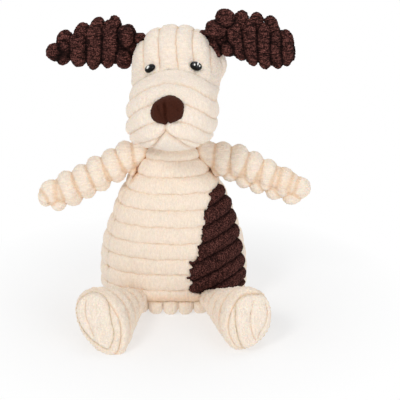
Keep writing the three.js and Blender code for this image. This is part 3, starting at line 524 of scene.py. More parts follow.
def noise(tree, place, **inputs):
    return addNode(tree, "ShaderNodeTexNoise", Vector=place, **inputs).outputs["Fac"]


def maths(tree, operation, *values):
    node = addNode(tree, "ShaderNodeMath", {"operation": operation})
    return feed(tree, node, dict(enumerate(values))).outputs[0]


def mixed(tree, factor, first, second, blendType="MIX"):
    node = addNode(tree, "ShaderNodeMix", {"data_type": "RGBA", "blend_type": blendType})
    return feed(tree, node, {0: factor, 6: first, 7: second}).outputs[2]


def ranged(tree, value, fromLow, fromHigh, toLow, toHigh):
    limits = {"From_Min": fromLow, "From_Max": fromHigh, "To_Min": toLow, "To_Max": toHigh}
    return addNode(tree, "ShaderNodeMapRange", Value=value, **limits).outputs["Result"]


# Plush: painted highlight on the tufts' tips, painted shade at their roots and in the grooves between wales,
# with slow unevenness
def plushMaterial(name, shade, kind, comb="upright", streaks=(0.95, 1.025)):
    material, tree, shader, place = newMaterial(name)
    crest, groove, tip = ((*shade[part], 1) for part in ("crest", "groove", "tip"))
    tufts = addNode(tree, "ShaderNodeTexVoronoi", {"feature": "F1"}, Vector=place, Scale=plush["tufts"])
    tuft = tufts.outputs["Distance"]
    combing = addNode(tree, "ShaderNodeMapping", Vector=place, Scale=combings[comb])
    strokes = noise(tree, combing.outputs["Vector"], **plush["strokes"])
    fluff, clumps = (noise(tree, place, **plush[part]) for part in ("fluff", "clumps"))
    # Painted shade at the roots between the tufts, then painted highlight on their tips
    ground = mixed(tree, ranged(tree, tuft, *plush["rootLimits"], 0.0, kind["roots"]), crest, groove)
    tips = ranged(tree, tuft, plush["tipStart"], kind["tipEnd"], kind["tips"], 0.0)
    ground = mixed(tree, tips, ground, tip)
    # Painted shade in the grooves, where the crest attribute is low
    onCrest = ranged(tree, attribute(tree, "crest"), 0.0, kind["valley"], 0.0, 1.0)
    ground = mixed(tree, onCrest, groove, ground)
    slow = ranged(tree, clumps, *plush["clumpLimits"], *kind["unevenness"])
    variation = maths(tree, "MULTIPLY", slow, ranged(tree, strokes, *plush["strokeLimits"], *streaks))
    grey = addNode(tree, "ShaderNodeCombineColor", Red=variation, Green=variation, Blue=variation)
    ground = mixed(tree, 1.0, ground, grey.outputs[0], "MULTIPLY")
    # Seams and painted shade darken it up to 1, and the painted shade of deep folds from there to 2
    seam = attribute(tree, "seam")
    ground = mixed(tree, seam, ground, groove, "MULTIPLY")
    ground = mixed(tree, ranged(tree, seam, 1.0, 2.0, 0.0, 1.0), ground, (*paintedFoldShade, 1), "MULTIPLY")
    high = maths(tree, "MULTIPLY_ADD", tuft, -1.0, maths(tree, "ADD", fluff, strokes))
    bump = addNode(tree, "ShaderNodeBump", Strength=kind["rough"], Distance=plush["bump"], Height=high)
    feed(tree, shader, {
        "Base Color": ground, "Normal": bump.outputs["Normal"], "Roughness": plush["roughness"],
        "Specular IOR Level": plush["specular"], "Sheen Weight": kind["sheen"],
        "Sheen Roughness": plush["sheenRoughness"], "Sheen Tint": tip,
    })
    if kind["glow"]:
        feed(tree, shader, {
            "Subsurface Weight": kind["glow"], "Subsurface Radius": plush["glowRadius"],
            "Subsurface Scale": plush["glowScale"],
        })
    return material


def plainMaterial(name, colour, roughness, grain=900.0, grainDepth=0.05, variation=0.06, **inputs):
    material, tree, shader, place = newMaterial(name)
    fleck = noise(tree, place, Scale=grain, Detail=4.0)
    low = [value * (1 - variation) for value in colour]
    high = [min(value * (1 + variation), 1) for value in colour]
    bump = addNode(tree, "ShaderNodeBump", Strength=grainDepth, Distance=0.0004, Height=fleck)
    feed(tree, shader, {
        "Base Color": mixed(tree, fleck, (*low, 1), (*high, 1)), "Normal": bump.outputs["Normal"],
        "Roughness": roughness, **inputs,
    })
    return material


# Black beads, each with its pale glints: painted reflections of the lamps
def beadMaterial():
    material = plainMaterial(
        "eyeBead", (0.002, 0.002, 0.0022), roughness=0.12, grain=300.0, grainDepth=0.01, variation=0.1,
        Specular_IOR_Level=0.2)
    tree = material.node_tree
    shader = tree.nodes["Principled BSDF"]
    black = shader.inputs["Base Color"].links[0].from_socket
    feed(tree, shader, {"Base Color": mixed(tree, attribute(tree, "glint"), black, (0.85, 0.85, 0.82, 1))})
    return material


materials = {
    "cream": plushMaterial("creamPlush", shades["cream"], pale),
    "armCream": plushMaterial("armPlush", shades["cream"], pale, "level"),
    "headCream": plushMaterial("headPlush", shades["headCream"], pale),
    "browCream": plushMaterial("browPlush", shades["headCream"], pale, "level"),
    "chin": plushMaterial("chinPlush", shades["chin"], pale),
    "sole": plushMaterial("solePlush", shades["sole"], pale),
    "brown": plushMaterial("brownPlush", shades["brown"], dark, streaks=(0.55, 1.4)),
    "earBrown": plushMaterial("earPlush", shades["brown"], dark, "level", streaks=(0.3, 1.75)),
    "nose": plainMaterial(
        "noseSatin", (0.050, 0.0130, 0.0068), roughness=0.6, grain=1300.0, grainDepth=0.6, variation=0.45,
        Specular_IOR_Level=0.06),
    "bead": beadMaterial(),
    "washer": plainMaterial("washerPlastic", (0.8, 0.8, 0.78), roughness=0.45),
    "stuffing": plainMaterial(
        "fibreStuffing", (0.93, 0.93, 0.92), roughness=0.95, grain=700.0, grainDepth=0.8, variation=0.08),
    "film": plainMaterial("crinkleFilm", (0.75, 0.8, 0.84), roughness=0.2, grain=160.0, grainDepth=0.9),
    "thread": plainMaterial(
        "waxedThread", (0.90, 0.78, 0.64), roughness=0.7, grain=2500.0, grainDepth=0.6, variation=0.12),
    "seamThread": plainMaterial(
        "seamThread", (0.74, 0.60, 0.36), roughness=0.75, grain=3500.0, grainDepth=0.6, variation=0.1),
    "bladder": plainMaterial(
        "bladderPlastic", (0.86, 0.86, 0.8), roughness=0.42, grain=220.0, grainDepth=0.05, variation=0.04,
        Subsurface_Weight=0.2, Subsurface_Scale=0.002),
    "reed": plainMaterial(
        "reedPlastic", (0.7, 0.71, 0.73), roughness=0.25, grain=400.0, grainDepth=0.02, variation=0.04),
}


def finished(thing, materialKey, slotName, *nodes):
    thing.data.materials.clear()
    thing.data.materials.append(materials[materialKey])
    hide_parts(*nodes)
    return thing


# Body

body = {
    "halfWidth": 43.4,
    "halfDepth": 27.0,
    "height": 96.0,
    "squareness": 2.3,
    "heightShares": [0, 0.02, 0.06, 0.11, 0.25, 0.37, 0.47, 0.57, 0.67, 0.78, 0.88, 0.96, 1],
    "widthShares": [0.76, 0.88, 0.96, 0.98, 0.98, 0.95, 0.89, 0.81, 0.73, 0.61, 0.48, 0.39, 0.36],
    "depthShares": [0.9, 0.96, 0.99, 1, 1, 0.99, 0.96, 0.9, 0.83, 0.75, 0.65, 0.57, 0.54],
    "bottom": 0.8,
    "neck": (0, 0, 92.0),
    "neckRadius": 16.0,
    "columns": 520,
    "bottomRows": 46,
    "sideRows": 236,
    "firstRing": 0.02,
    "topGap": 0.3,
    "rayStart": 0.05,
    "rayDepth": 1.25,
    "slopeStep": 0.8,
    "cell": 0.3,
    "neckRise": (16, 80, 40),
    "seamHeights": [0, 10, 28, 42, 50, 60, 70, 80, 95],
    "rightSeam": [-12.5, -12.8, -13.3, -12.0, -9.8, -9.0, -8.4, -8.0, -5.0],
    "leftSeam": [-6.0, -6.0, -8.5, -8.3, -5.2, -2.0, -2.8, -3.0, -3.0],
    "seamChange": (-8, 8),
    "seatSeam": 8.7,
    "seatWaver": [(0.5, 7.0, 9)],
    "seams": {"side": (0.35, 0.08), "seat": (0.45, 0.25), "patch": (0.4, 0.1)},
    "grooves": [8.7, 15.7, 25.8, 35.3, 44.6, 54.1, 63.6, 73.0, 82.4, 91.4],
    "crest": 1.2,
    "dip": 0.8,
    "power": 2.4,
    "wobble": [(0.3, 13.0, 3), (0.25, 5.0, 4), (0.35, 1.7, 6)],
    "plump": [(0.3, 8.0, 5)],
    "fadeTop": (98, 93),
    "floor": 0.02,
    "seatGroove": 3.2,
    "seatPitch": 8.9,
    "seatWobble": [(0.03, 6.0, 8)],
    "rim": {"start": -19, "end": -24, "lift": 2.6, "liftTop": 9, "liftFull": 3, "draw": 1.6},
    "chestCrease": {"x": 0.4, "low": (64.0, 72.0), "depth": 0.5, "width": 1.3},
    "pinches": [(-38.6, 25.8), (-38.6, 35.3), (-37.2, 44.6), (-35.5, 54.1), (-32.0, 63.6), (-27.8, 73.0)],
    "pinchSize": 0.95,
    "pinchDepth": 0.5,
    "pinchShade": 1.3,
    "hem": (15.4, 10.7),
    "hemFront": -12,
    "hemShade": 0.5,
    "fill": 0.85,
}

patch = {
    "outline": [
        (27.8, 76.0), (25.8, 73.9), (24.3, 72.7), (21.4, 71.5), (21.5, 68.6), (20.9, 66.2), (20.2, 64.2),
        (18.0, 63.4), (18.6, 60.2), (18.1, 58.5), (18.7, 54.9), (17.1, 52.9), (17.5, 50.1), (16.6, 46.8),
        (16.9, 44.4), (14.9, 43.2), (15.1, 40.0), (15.6, 37.1), (13.1, 35.1), (10.1, 33.5), (11.9, 30.3),
        (10.2, 29.1), (10.2, 25.8), (8.5, 24.2), (11.1, 21.4), (10.6, 19.0), (9.3, 16.5), (11.1, 14.1),
        (15.5, 13.7), (17.7, 11.7), (21.6, 10.9), (24.7, 11.3), (27.7, 12.9), (31.0, 13.0), (36.0, 12.3),
        (50.0, 11.0), (50.0, 86.0), (36.0, 84.0),
    ],
    "lean": (-0.459, 0.101, 1.0),
    "grooves": [-13.5, -4.4, 4.3, 13.7, 24.0, 33.2, 42.75, 52.9, 62.5],
    "crest": 1.7,
    "dip": 1.5,
    "power": 2.2,
    "wobble": [(0.35, 9.0, 13), (0.3, 1.8, 15)],
    "proud": 0.7,
    "fingers": 1.6,
    "fingerLevel": 0.3,
    "fingerEdge": 3,
    "fingerStart": (24, 34),
    "seams": (0.9, 0.8, 0.7),
    "fray": 0.8,
}


def bodyDistance(points):
    shares = points[..., 2] / body["height"]
    halfWidth = body["halfWidth"] * readTable(body["heightShares"], body["widthShares"], shares)
    halfDepth = body["halfDepth"] * readTable(body["heightShares"], body["depthShares"], shares)
    radii = np.stack([halfWidth, halfDepth, np.ones_like(halfWidth)], axis=-1)
    level = superellipsoid(points * np.array([1, 1, 0]), (0, 0, 0), radii, body["squareness"])
    torso = np.maximum(level, np.maximum(points[..., 2] - body["height"], body["bottom"] - points[..., 2]))
    return np.minimum(torso, ballDistance(points, body["neck"], body["neckRadius"]))


# Rows of points over the seat, up the sides and over the neck's ball
def bodyGrid():
    rings = np.linspace(body["firstRing"], 1, body["bottomRows"])[:-1]
    heights = np.linspace(body["bottom"], body["height"] - body["topGap"], body["sideRows"])
    levels = np.array([(body["bottom"], share) for share in rings] + [(height, 1.0) for height in heights])
    angles = np.linspace(0, 2 * math.pi, body["columns"], endpoint=False)
    across = body["halfWidth"] * np.cos(angles)
    along = body["halfDepth"] * body["rayDepth"] * np.sin(angles)
    ways = unit(np.stack([across, along, np.zeros_like(across)], axis=-1))
    starts = np.zeros((len(levels), len(angles), 3))
    starts[..., 2] = np.maximum(levels[:, 0], body["bottom"] + body["rayStart"])[:, None]
    grid = surfaceAlong(bodyDistance, starts, np.broadcast_to(ways, starts.shape))
    grid[..., :2] *= levels[:, 1][:, None, None]
    grid[..., 2] = levels[:, 0][:, None]
    rise = np.radians(np.linspace(*body["neckRise"]))
    ball = np.stack([
        np.cos(rise)[:, None] * ways[:, 0], np.cos(rise)[:, None] * ways[:, 1],
        np.broadcast_to(np.sin(rise)[:, None], (len(rise), len(angles))),
    ], axis=-1)
    grid = np.concatenate([grid, np.array(body["neck"]) + ball * body["neckRadius"]])
    normals = outwards(bodyDistance, grid, body["slopeStep"])
    return {"grid": grid, "normals": normals, "cell": body["cell"]}


def patchField(points):
    flat = points * np.array([1, 0, 1])
    field = outlineField(patch["outline"], points[..., 0], points[..., 2])
    return field + patch["fray"] * softNoise(flat, 1.7, 91)


def patchBack(points):
    wobble = layered(points, patch["wobble"])
    return wale(patch["grooves"], points @ np.array(patch["lean"]) + wobble, patch["power"])


# Where the side seams run. The patch's wales end in round fingers that reach past the left one.
def sideSeam(points):
    height = points[..., 2]
    right = readTable(body["seamHeights"], body["rightSeam"], height)
    left = readTable(body["seamHeights"], body["leftSeam"], height)
    seam = right + (left - right) * smooth(*body["seamChange"], points[..., 0])
    held = smooth(0, patch["fingerEdge"], patchField(points)) * smooth(*patch["fingerStart"], points[..., 0])
    return seam + held * patch["fingers"] * (patchBack(points) - patch["fingerLevel"])


# Small dents where a thread holds the ends of the grooves
def pinched(grid):
    gaps = [(grid[..., 0] - x) ** 2 + (grid[..., 2] - z) ** 2 for x, z in body["pinches"]]
    return np.exp(-np.min(gaps, axis=0) / body["pinchSize"] ** 2) * (grid[..., 1] < 0)


def bodyHeight(grid):
    back = wale(body["grooves"], grid[..., 2] + layered(grid, body["wobble"]), body["power"])
    crease = body["chestCrease"]
    chest = bell(grid[..., 0] - crease["x"], crease["width"]) * (grid[..., 1] < 0)
    chest = chest * smooth(*crease["low"], grid[..., 2])
    lift = relief(body, back) + layered(grid, body["plump"]) - crease["depth"] * chest
    lift = lift - body["pinchDepth"] * pinched(grid)
    return lift * smooth(*body["fadeTop"], grid[..., 2]), back


def patchHeight(grid):
    back = patchBack(grid)
    return relief(patch, back) + patch["proud"], back


def seatHeight(grid):
    phase = (grid[..., 0] - body["seatGroove"]) / body["seatPitch"]
    back = waleBack(phase + layered(grid, body["seatWobble"]), body["power"])
    return relief(body, back), back


def onFloor(points, crest=None, floor=body["floor"]):
    points = points.copy()
    points[..., 2] = np.maximum(points[..., 2], floor)
    return points


# The seat's wales end at the front as round lobes with deep notches between them
def seatOnFloor(points, crest):
    facts = body["rim"]
    points = points.copy()
    rim = smooth(facts["start"], facts["end"], points[..., 1]) * (1 - crest)
    points[..., 2] += rim * facts["lift"] * smooth(facts["liftTop"], facts["liftFull"], points[..., 2])
    points[..., 1] += rim * facts["draw"]
    return onFloor(points)


# Painted shade in the fold where another piece presses on the cloth, by how near that piece is.
# Far inside there is none, for the poses that bare it. The ranges are gaps from where it starts to full.
press = {"soft": (3.2, 0.6), "softShade": 0.7, "fold": (1.1, 0.1), "foldShade": 1.1, "inside": (-1.3, -0.2)}


def pressedShade(gap):
    soft, fold = smooth(*press["soft"], gap), smooth(*press["fold"], gap)
    return (press["softShade"] * soft + press["foldShade"] * fold) * smooth(*press["inside"], gap)


# Painted shade on the body: where the arms press on it, on the front's lowest band and in the pinched dents
def bodyPaintedShade(grid):
    points = grid.reshape(-1, 3)
    rolls = [roll for name in ("right", "left") for roll in armLobes(arms[name])]
    gap = np.min([lobeGauge(points, roll) for roll in rolls], axis=0).reshape(grid.shape[:-1])
    # Painted shade on the front's band under the lowest groove, and deeper painted shade in the pinched dents
    hem = body["hemShade"] * smooth(*body["hem"], grid[..., 2])
    hem = hem * (grid[..., 1] < body["hemFront"])
    return pressedShade(gap) + hem + body["pinchShade"] * pinched(grid)


def buildBody():
    form = bodyGrid()
    front = lambda points: sideSeam(points) - points[..., 1]
    behind = lambda points: points[..., 1] - sideSeam(points)
    waver = lambda points: body["seatSeam"] + layered(points * np.array([1, 1, 0]), body["seatWaver"])
    above = lambda points: points[..., 2] - waver(points)
    below = lambda points: waver(points) - points[..., 2]
    outside = lambda points: -patchField(points)
    side, seat, edge = (body["seams"][part] for part in ("side", "seat", "patch"))
    patchBorders = [(field, depth, 0) for field, depth in zip((front, above, patchField), patch["seams"])]
    pieces = [
        finished(panel("bodyFrontPlush", form, [(front, *side), (above, *seat), (outside, *edge)],
                       bodyHeight, seed=1, flatten=onFloor, share=0.75, paintedShade=bodyPaintedShade),
                 "cream", "cream_plush", "body_front_panel"),
        finished(panel("bodyPatchPlush", form, patchBorders,
                       patchHeight, seed=2, flatten=onFloor, share=0.9),
                 "brown", "brown_plush", "body_patch"),
        finished(panel("bodyBackPlush", form, [(behind, *side), (above, *seat)],
                       bodyHeight, seed=1, flatten=onFloor, share=0.75),
                 "cream", "cream_plush", "body_back_panel"),
        finished(panel("bodySeatPlush", form, [(below, *seat)], seatHeight, seed=4, flatten=seatOnFloor),
                 "cream", "cream_plush", "body_seat_panel"),
    ]
    for piece in pieces:
        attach(piece, "torso")
    print("body", [len(piece.data.polygons) for piece in pieces])
    return pieces


# The body's seams as lines of points: up both sides, and round the seat
bodySeams = {"start": 1, "end": 88, "sidePoints": 120, "probe": 34.0, "seatPoints": 260}


def bodySeamLines():
    lines = []
    heights = np.linspace(body["seatSeam"] + bodySeams["start"], bodySeams["end"], bodySeams["sidePoints"])
    for side in (-1, 1):
        starts = np.stack([np.zeros_like(heights), np.zeros_like(heights), heights], axis=-1)
        probe = starts + np.array([side * bodySeams["probe"], 0, 0])
        starts[:, 1] = sideSeam(probe)
        ways = np.broadcast_to((side * 1.0, 0.0, 0.0), starts.shape)
        lines.append(surfaceAlong(bodyDistance, starts, ways))
    spin = np.linspace(0, 2 * math.pi, bodySeams["seatPoints"])
    starts = np.zeros((len(spin), 3))
    starts[:, 2] = body["seatSeam"]
    ways = np.stack([np.cos(spin), np.sin(spin), 0 * spin], axis=-1)
    lines.append(surfaceAlong(bodyDistance, starts, ways))
    return lines


# Head

head = {
    "turn": -3.0,
    "cranium": {"centre": (1.9, 4.0, 136.0), "radii": (24.5, 26.0, 28.0)},
    "muzzle": {"centre": (2.4, -26.0, 124.0), "radii": (24.3, 27.5, 20.0)},
    "cheeks": [((22.5, 8.0, 142.0), 7.4), ((-13.0, -20.0, 112.5), 10.5), ((16.0, -20.0, 112.5), 8.2),
               ((0.5, 2.0, 114.0), 17.6)],
    "squareness": 2.4,
    "blend": 8.0,
    "cheekBlend": 4.0,
    "seamY": 3.0,
    "browLean": 0.14,
    "browTop": 160.0,
    "browGrooves": [-25.5, -16.2, -6.9, 3.1, 12.4, 21.0, 30.4],
    "hang": {"lean": 0.175, "curve": 0.0193, "x": 2.5},
    "muzzleGrooves": [97.5, 107.0, 116.6, 126.6, 135.8, 150.0],
    "browSeam": 142.3,
    "crest": 1.0,
    "dip": 1.1,
    "power": 2.2,
    "browWobble": [(0.35, 12.0, 21), (0.15, 4.0, 22), (0.25, 1.7, 23)],
    "muzzleWobble": [(0.35, 12.0, 24), (0.15, 4.0, 25), (0.3, 1.7, 26)],
    "chinWobble": [(0.5, 6.0, 27)],
    "chinLift": 0.1,
    "chinCrest": 0.8,
    "chinUnevenness": 0.2,
    "fade": {"start": 140, "end": 149, "lean": 0.2, "raise": 4, "least": 0.45},
    "furrow": {
        "x": 0.4, "width": 0.9, "front": (-44, -48), "low": (118, 120), "high": (128, 125), "shade": 0.8,
    },
    "lipLeft": [(0.6, 120.2), (-2.4, 116.3), (-5.5, 111.2), (-8.4, 107.6), (-16.0, 98.0)],
    "lipRight": [(0.6, 120.2), (4.0, 116.3), (7.7, 113.6), (12.5, 108.6), (22.0, 99.0)],
    "chinRear": -24.0,
    "neckCup": 16.6,
    "seams": {"side": (0.5, 0.1), "brow": (0.35, 0.06), "lip": (1.3, 0.4), "neck": (1.0, 0.3)},
    "rows": 360,
    "columns": 430,
    "pole": 0.02,
    "slopeStep": 0.5,
    "cell": 0.32,
    "fill": 0.9,
}


def turnedHead(points):
    angle = math.radians(head["turn"])
    cos, sin = math.cos(angle), math.sin(angle)
    return points @ np.array([[cos, -sin, 0], [sin, cos, 0], [0, 0, 1]]).T


def fusedDistance(first, second, reach):
    overlap = np.maximum(reach - np.abs(first - second), 0) / reach
    return np.minimum(first, second) - overlap * overlap * reach / 4


def headDistance(points):
    cranium, muzzle = (
        superellipsoid(points, head[part]["centre"], head[part]["radii"], head["squareness"])
        for part in ("cranium", "muzzle")
    )
    whole = fusedDistance(cranium, muzzle, head["blend"])
    for centre, radius in head["cheeks"]:
        whole = fusedDistance(whole, ballDistance(points, centre, radius), head["cheekBlend"])
    return whole


def headGrid():
    heart = (np.array(head["cranium"]["centre"]) + np.array(head["muzzle"]["centre"])) / 2
    tilt = np.linspace(head["pole"], math.pi - head["pole"], head["rows"])[:, None]
    spin = np.linspace(0, 2 * math.pi, head["columns"], endpoint=False)[None]
    ways = np.stack([
        -np.cos(tilt) * np.ones_like(spin), np.sin(tilt) * np.cos(spin), np.sin(tilt) * np.sin(spin),
    ], axis=-1)
    grid = surfaceAlong(headDistance, np.broadcast_to(heart, ways.shape), ways)
    return {"grid": grid, "normals": outwards(headDistance, grid, head["slopeStep"]), "cell": head["cell"]}


# The muzzle's wales hang across it like chains, and the brow seam hangs the same way
def hang(points):
    facts = head["hang"]
    curve = facts["curve"] * (points[..., 0] - facts["x"]) ** 2
    return points[..., 2] + facts["lean"] * points[..., 1] + curve


def eyeSocket(grid):
    hollow = np.zeros(grid.shape[:-1])
    for facts in eyes["beads"].values():
        hollow = hollow + np.exp(-((grid - np.array(facts["centre"])) ** 2).sum(-1) / eyes["socket"] ** 2)
    return eyes["socketDepth"] * hollow


def browHeight(grid):
    field = grid[..., 0] - head["browLean"] * np.maximum(head["browTop"] - grid[..., 2], 0)
    back = wale(head["browGrooves"], field + layered(grid, head["browWobble"]), head["power"])
    # The grooves fade towards the brow seam
    fade = head["fade"]
    fading = smooth(fade["start"], fade["end"], grid[..., 2] + fade["lean"] * grid[..., 1] + fade["raise"])
    back = 1 - (1 - back) * grown(fade["least"], fading)
    return relief(head, back) - eyeSocket(grid), back


def muzzleHeight(grid):
    back = wale(head["muzzleGrooves"], hang(grid) + layered(grid, head["muzzleWobble"]), head["power"])
    # A short furrow runs down from the nose to the lips, darkened with painted shade
    facts = head["furrow"]
    furrow = bell(grid[..., 0] - facts["x"], facts["width"])
    for axis, limits in ((1, facts["front"]), (2, facts["low"]), (2, facts["high"])):
        furrow = furrow * smooth(*limits, grid[..., axis])
    return relief(head, back) - furrow - eyeSocket(grid), np.minimum(back, 1 - facts["shade"] * furrow)


def chinHeight(grid):
    soft = layered(grid, head["chinWobble"])
    return soft + head["chinLift"], head["chinCrest"] + head["chinUnevenness"] * soft


# The lips run down and outwards from under the nose, steeper on one side
def chinField(points):
    x, z = points[..., 0], points[..., 2]
    outline = head["lipLeft"][::-1] + head["lipRight"][1:] + [(40.0, 80.0), (-40.0, 80.0)]
    return np.minimum(outlineField(outline, x, z), head["chinRear"] - points[..., 1])


def buildHead():
    form = headGrid()
    front = lambda points: head["seamY"] - points[..., 1]
    behind = lambda points: points[..., 1] - head["seamY"]
    above = lambda points: hang(points) - head["browSeam"]
    below = lambda points: head["browSeam"] - hang(points)
    cup = lambda points: ballDistance(points, body["neck"], head["neckCup"])
    noChin = lambda points: -chinField(points)
    side, brow, lip, neck = (head["seams"][part] for part in ("side", "brow", "lip", "neck"))
    pieces = [
        finished(panel("foreheadPlush", form, [(front, *side), (above, *brow), (cup, *neck)],
                       browHeight, seed=5, after=turnedHead, share=0.75, combed=0),
                 "browCream", "head_plush", "head_forehead_panel"),
        finished(panel("headBackPlush", form, [(behind, *side), (cup, *neck)],
                       browHeight, seed=5, after=turnedHead, share=0.75, combed=0),
                 "browCream", "head_plush", "head_back_panel"),
        finished(panel("muzzlePlush", form, [(front, *side), (below, *brow), (noChin, *lip), (cup, *neck)],
                       muzzleHeight, seed=6, after=turnedHead, share=0.8),
                 "headCream", "head_plush", "head_muzzle_panel"),
        finished(panel("chinPlush", form, [(chinField, *lip), (cup, *neck)], chinHeight, seed=7,
                       after=turnedHead, share=0.6), "chin", "chin_plush", "head_chin_panel"),
    ]
    for piece in pieces:
        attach(piece, "head")
    print("head", [len(piece.data.polygons) for piece in pieces])


# The head's seams as lines of points: over the crown behind the ears, and across the brow.
# Each is looked for from a point inside, between two bearings. The brow's slope is found by halving.
headSeams = {
    "crownFrom": 130.0, "crownTurn": (-46, 226), "crownPoints": 240,
    "browFrom": (1.2, 1.0, 136.0), "browTurn": (186, 354), "browPoints": 200, "browSlopes": (-0.6, 1.2),
    "halvings": 24,
}


def headSeamLines():
    crown = np.array([head["cranium"]["centre"][0], head["seamY"], headSeams["crownFrom"]])
    turn = np.linspace(*map(math.radians, headSeams["crownTurn"]), headSeams["crownPoints"])
    ways = np.stack([np.cos(turn), 0 * turn, np.sin(turn)], axis=-1)
    over = surfaceAlong(headDistance, np.broadcast_to(crown, ways.shape), ways)
    spin = np.linspace(*map(math.radians, headSeams["browTurn"]), headSeams["browPoints"])
    flat = np.stack([np.cos(spin), np.sin(spin), 0 * spin], axis=-1)
    heart = np.broadcast_to(np.array(headSeams["browFrom"]), flat.shape)
    low, high = (np.full(len(spin), slope) for slope in headSeams["browSlopes"])
    for _ in range(headSeams["halvings"]):
        middle = (low + high) / 2
        ways = unit(flat + np.array([0, 0, 1.0]) * middle[:, None])
        brow = surfaceAlong(headDistance, heart, ways)
        under = hang(brow) < head["browSeam"]
        low, high = np.where(under, middle, low), np.where(under, high, middle)
    return [turnedHead(over), turnedHead(brow)]


# The nose: a creased pad whose outline is a list of (x, z) points about its centre
nose = {
    "centre": (1.4, -51.5, 131.0),
    "halfDepth": 6.6,
    "outline": [
        (-8.8, -0.3), (-8.7, -3.7), (-6.7, -5.8), (-3.9, -6.8), (-1.2, -7.5), (0.6, -7.7), (2.4, -6.5),
        (5.4, -5.3), (8.1, -3.8), (9.0, -0.3), (8.8, 3.7), (7.1, 6.0), (4.4, 7.6), (1.2, 8.2),
        (-2.2, 7.2), (-5.5, 5.2), (-7.9, 2.6),
    ],
    "creases": [
        [(-1.2, 5.0), (-0.6, 1.5), (-0.9, -1.5), (0.6, -7.0)], [(-5.0, 3.2), (-4.2, 0.4), (-2.2, -3.4)],
        [(1.2, 5.2), (4.2, 4.2), (6.4, 1.8)],
    ],
    "creaseDepths": [1.7, 1.0, 0.8],
    "creaseWidth": 0.85,
    "roundness": 0.85,
    "swell": (9.0, 8.0),
    "wrinkles": [(0.1, 1.6, 41), (0.16, (0.8, 2.0, 0.8), 42)],
    "fill": 0.9,
    "rows": 90,
    "columns": 140,
    "pole": 0.03,
}


def buildNose():
    outline = np.array(rounded(nose["outline"], 1))
    bearing = np.arctan2(outline[:, 1], outline[:, 0])
    order = np.argsort(bearing)
    reach = np.hypot(outline[:, 0], outline[:, 1])[order]
    tilt = np.linspace(nose["pole"], math.pi - nose["pole"], nose["rows"])[:, None]
    spin = np.linspace(-math.pi, math.pi, nose["columns"], endpoint=False)[None]
    radius = np.interp(spin, bearing[order], reach, period=2 * math.pi) * np.sin(tilt) ** nose["roundness"]
    centre = np.array(nose["centre"])
    grid = centre + np.stack([
        radius * np.cos(spin), np.cos(tilt) * nose["halfDepth"] * np.ones_like(spin), radius * np.sin(spin),
    ], axis=-1)
    wide, tall = nose["swell"]
    normals = unit((grid - centre) / np.array([wide ** 2, nose["halfDepth"] ** 2, tall ** 2]))
    lift = layered(grid, nose["wrinkles"])
    for line, depth in zip(nose["creases"], nose["creaseDepths"]):
        gap = lineGap(line, grid[..., 0] - centre[0], grid[..., 2] - centre[2])
        lift = lift - depth * bell(gap, nose["creaseWidth"]) * (grid[..., 1] < centre[1])
    grid = grid + normals * lift[..., None]
    whole = np.ones(grid.shape[:2], bool)
    piece = clothPiece("noseSatinPad", turnedHead(grid), turnedHead(normals), {"crest": whole * 1.0}, whole)
    finished(piece, "nose", "nose_satin", "nose")
    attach(piece, "head")
    print("nose", len(piece.data.polygons))


# The eyes: oval beads, higher at their inner ends, each with a shank through the cloth
eyes = {
    "beads": {
        "right": {
            "centre": (-10.1, -20.6, 145.8), "roll": 42.0, "radii": (3.2, 2.1),
            "glints": [(-0.15, -0.3, 0.45, 0.95, 35.0)],
        },
        "left": {
            "centre": (14.3, -18.8, 147.0), "roll": -24.0, "radii": (3.5, 2.5),
            "glints": [(-1.7, 0.2, 0.4, 0.55, 0.0), (0.2, 0.5, 0.4, 0.8, 15.0), (1.1, -0.7, 0.35, 0.5, 0.0)],
        },
    },
    "dome": 2.3,
    "floor": 0.9,
    "socket": 5.2,
    "socketDepth": 0.9,
    # The bead's underside and shank: the half size, as a share or in millimetres, and the height
    "underside": [(0.97, -0.5), (0.6, -1.2)],
    "shank": {"radius": 0.9, "top": -1.5, "end": -4.4, "tip": (0.02, 0.02, -4.5)},
    "glintEdge": (1.3, 0.7),
    "pole": 0.03,
    "domeRows": 30,
    "columns": 72,
}


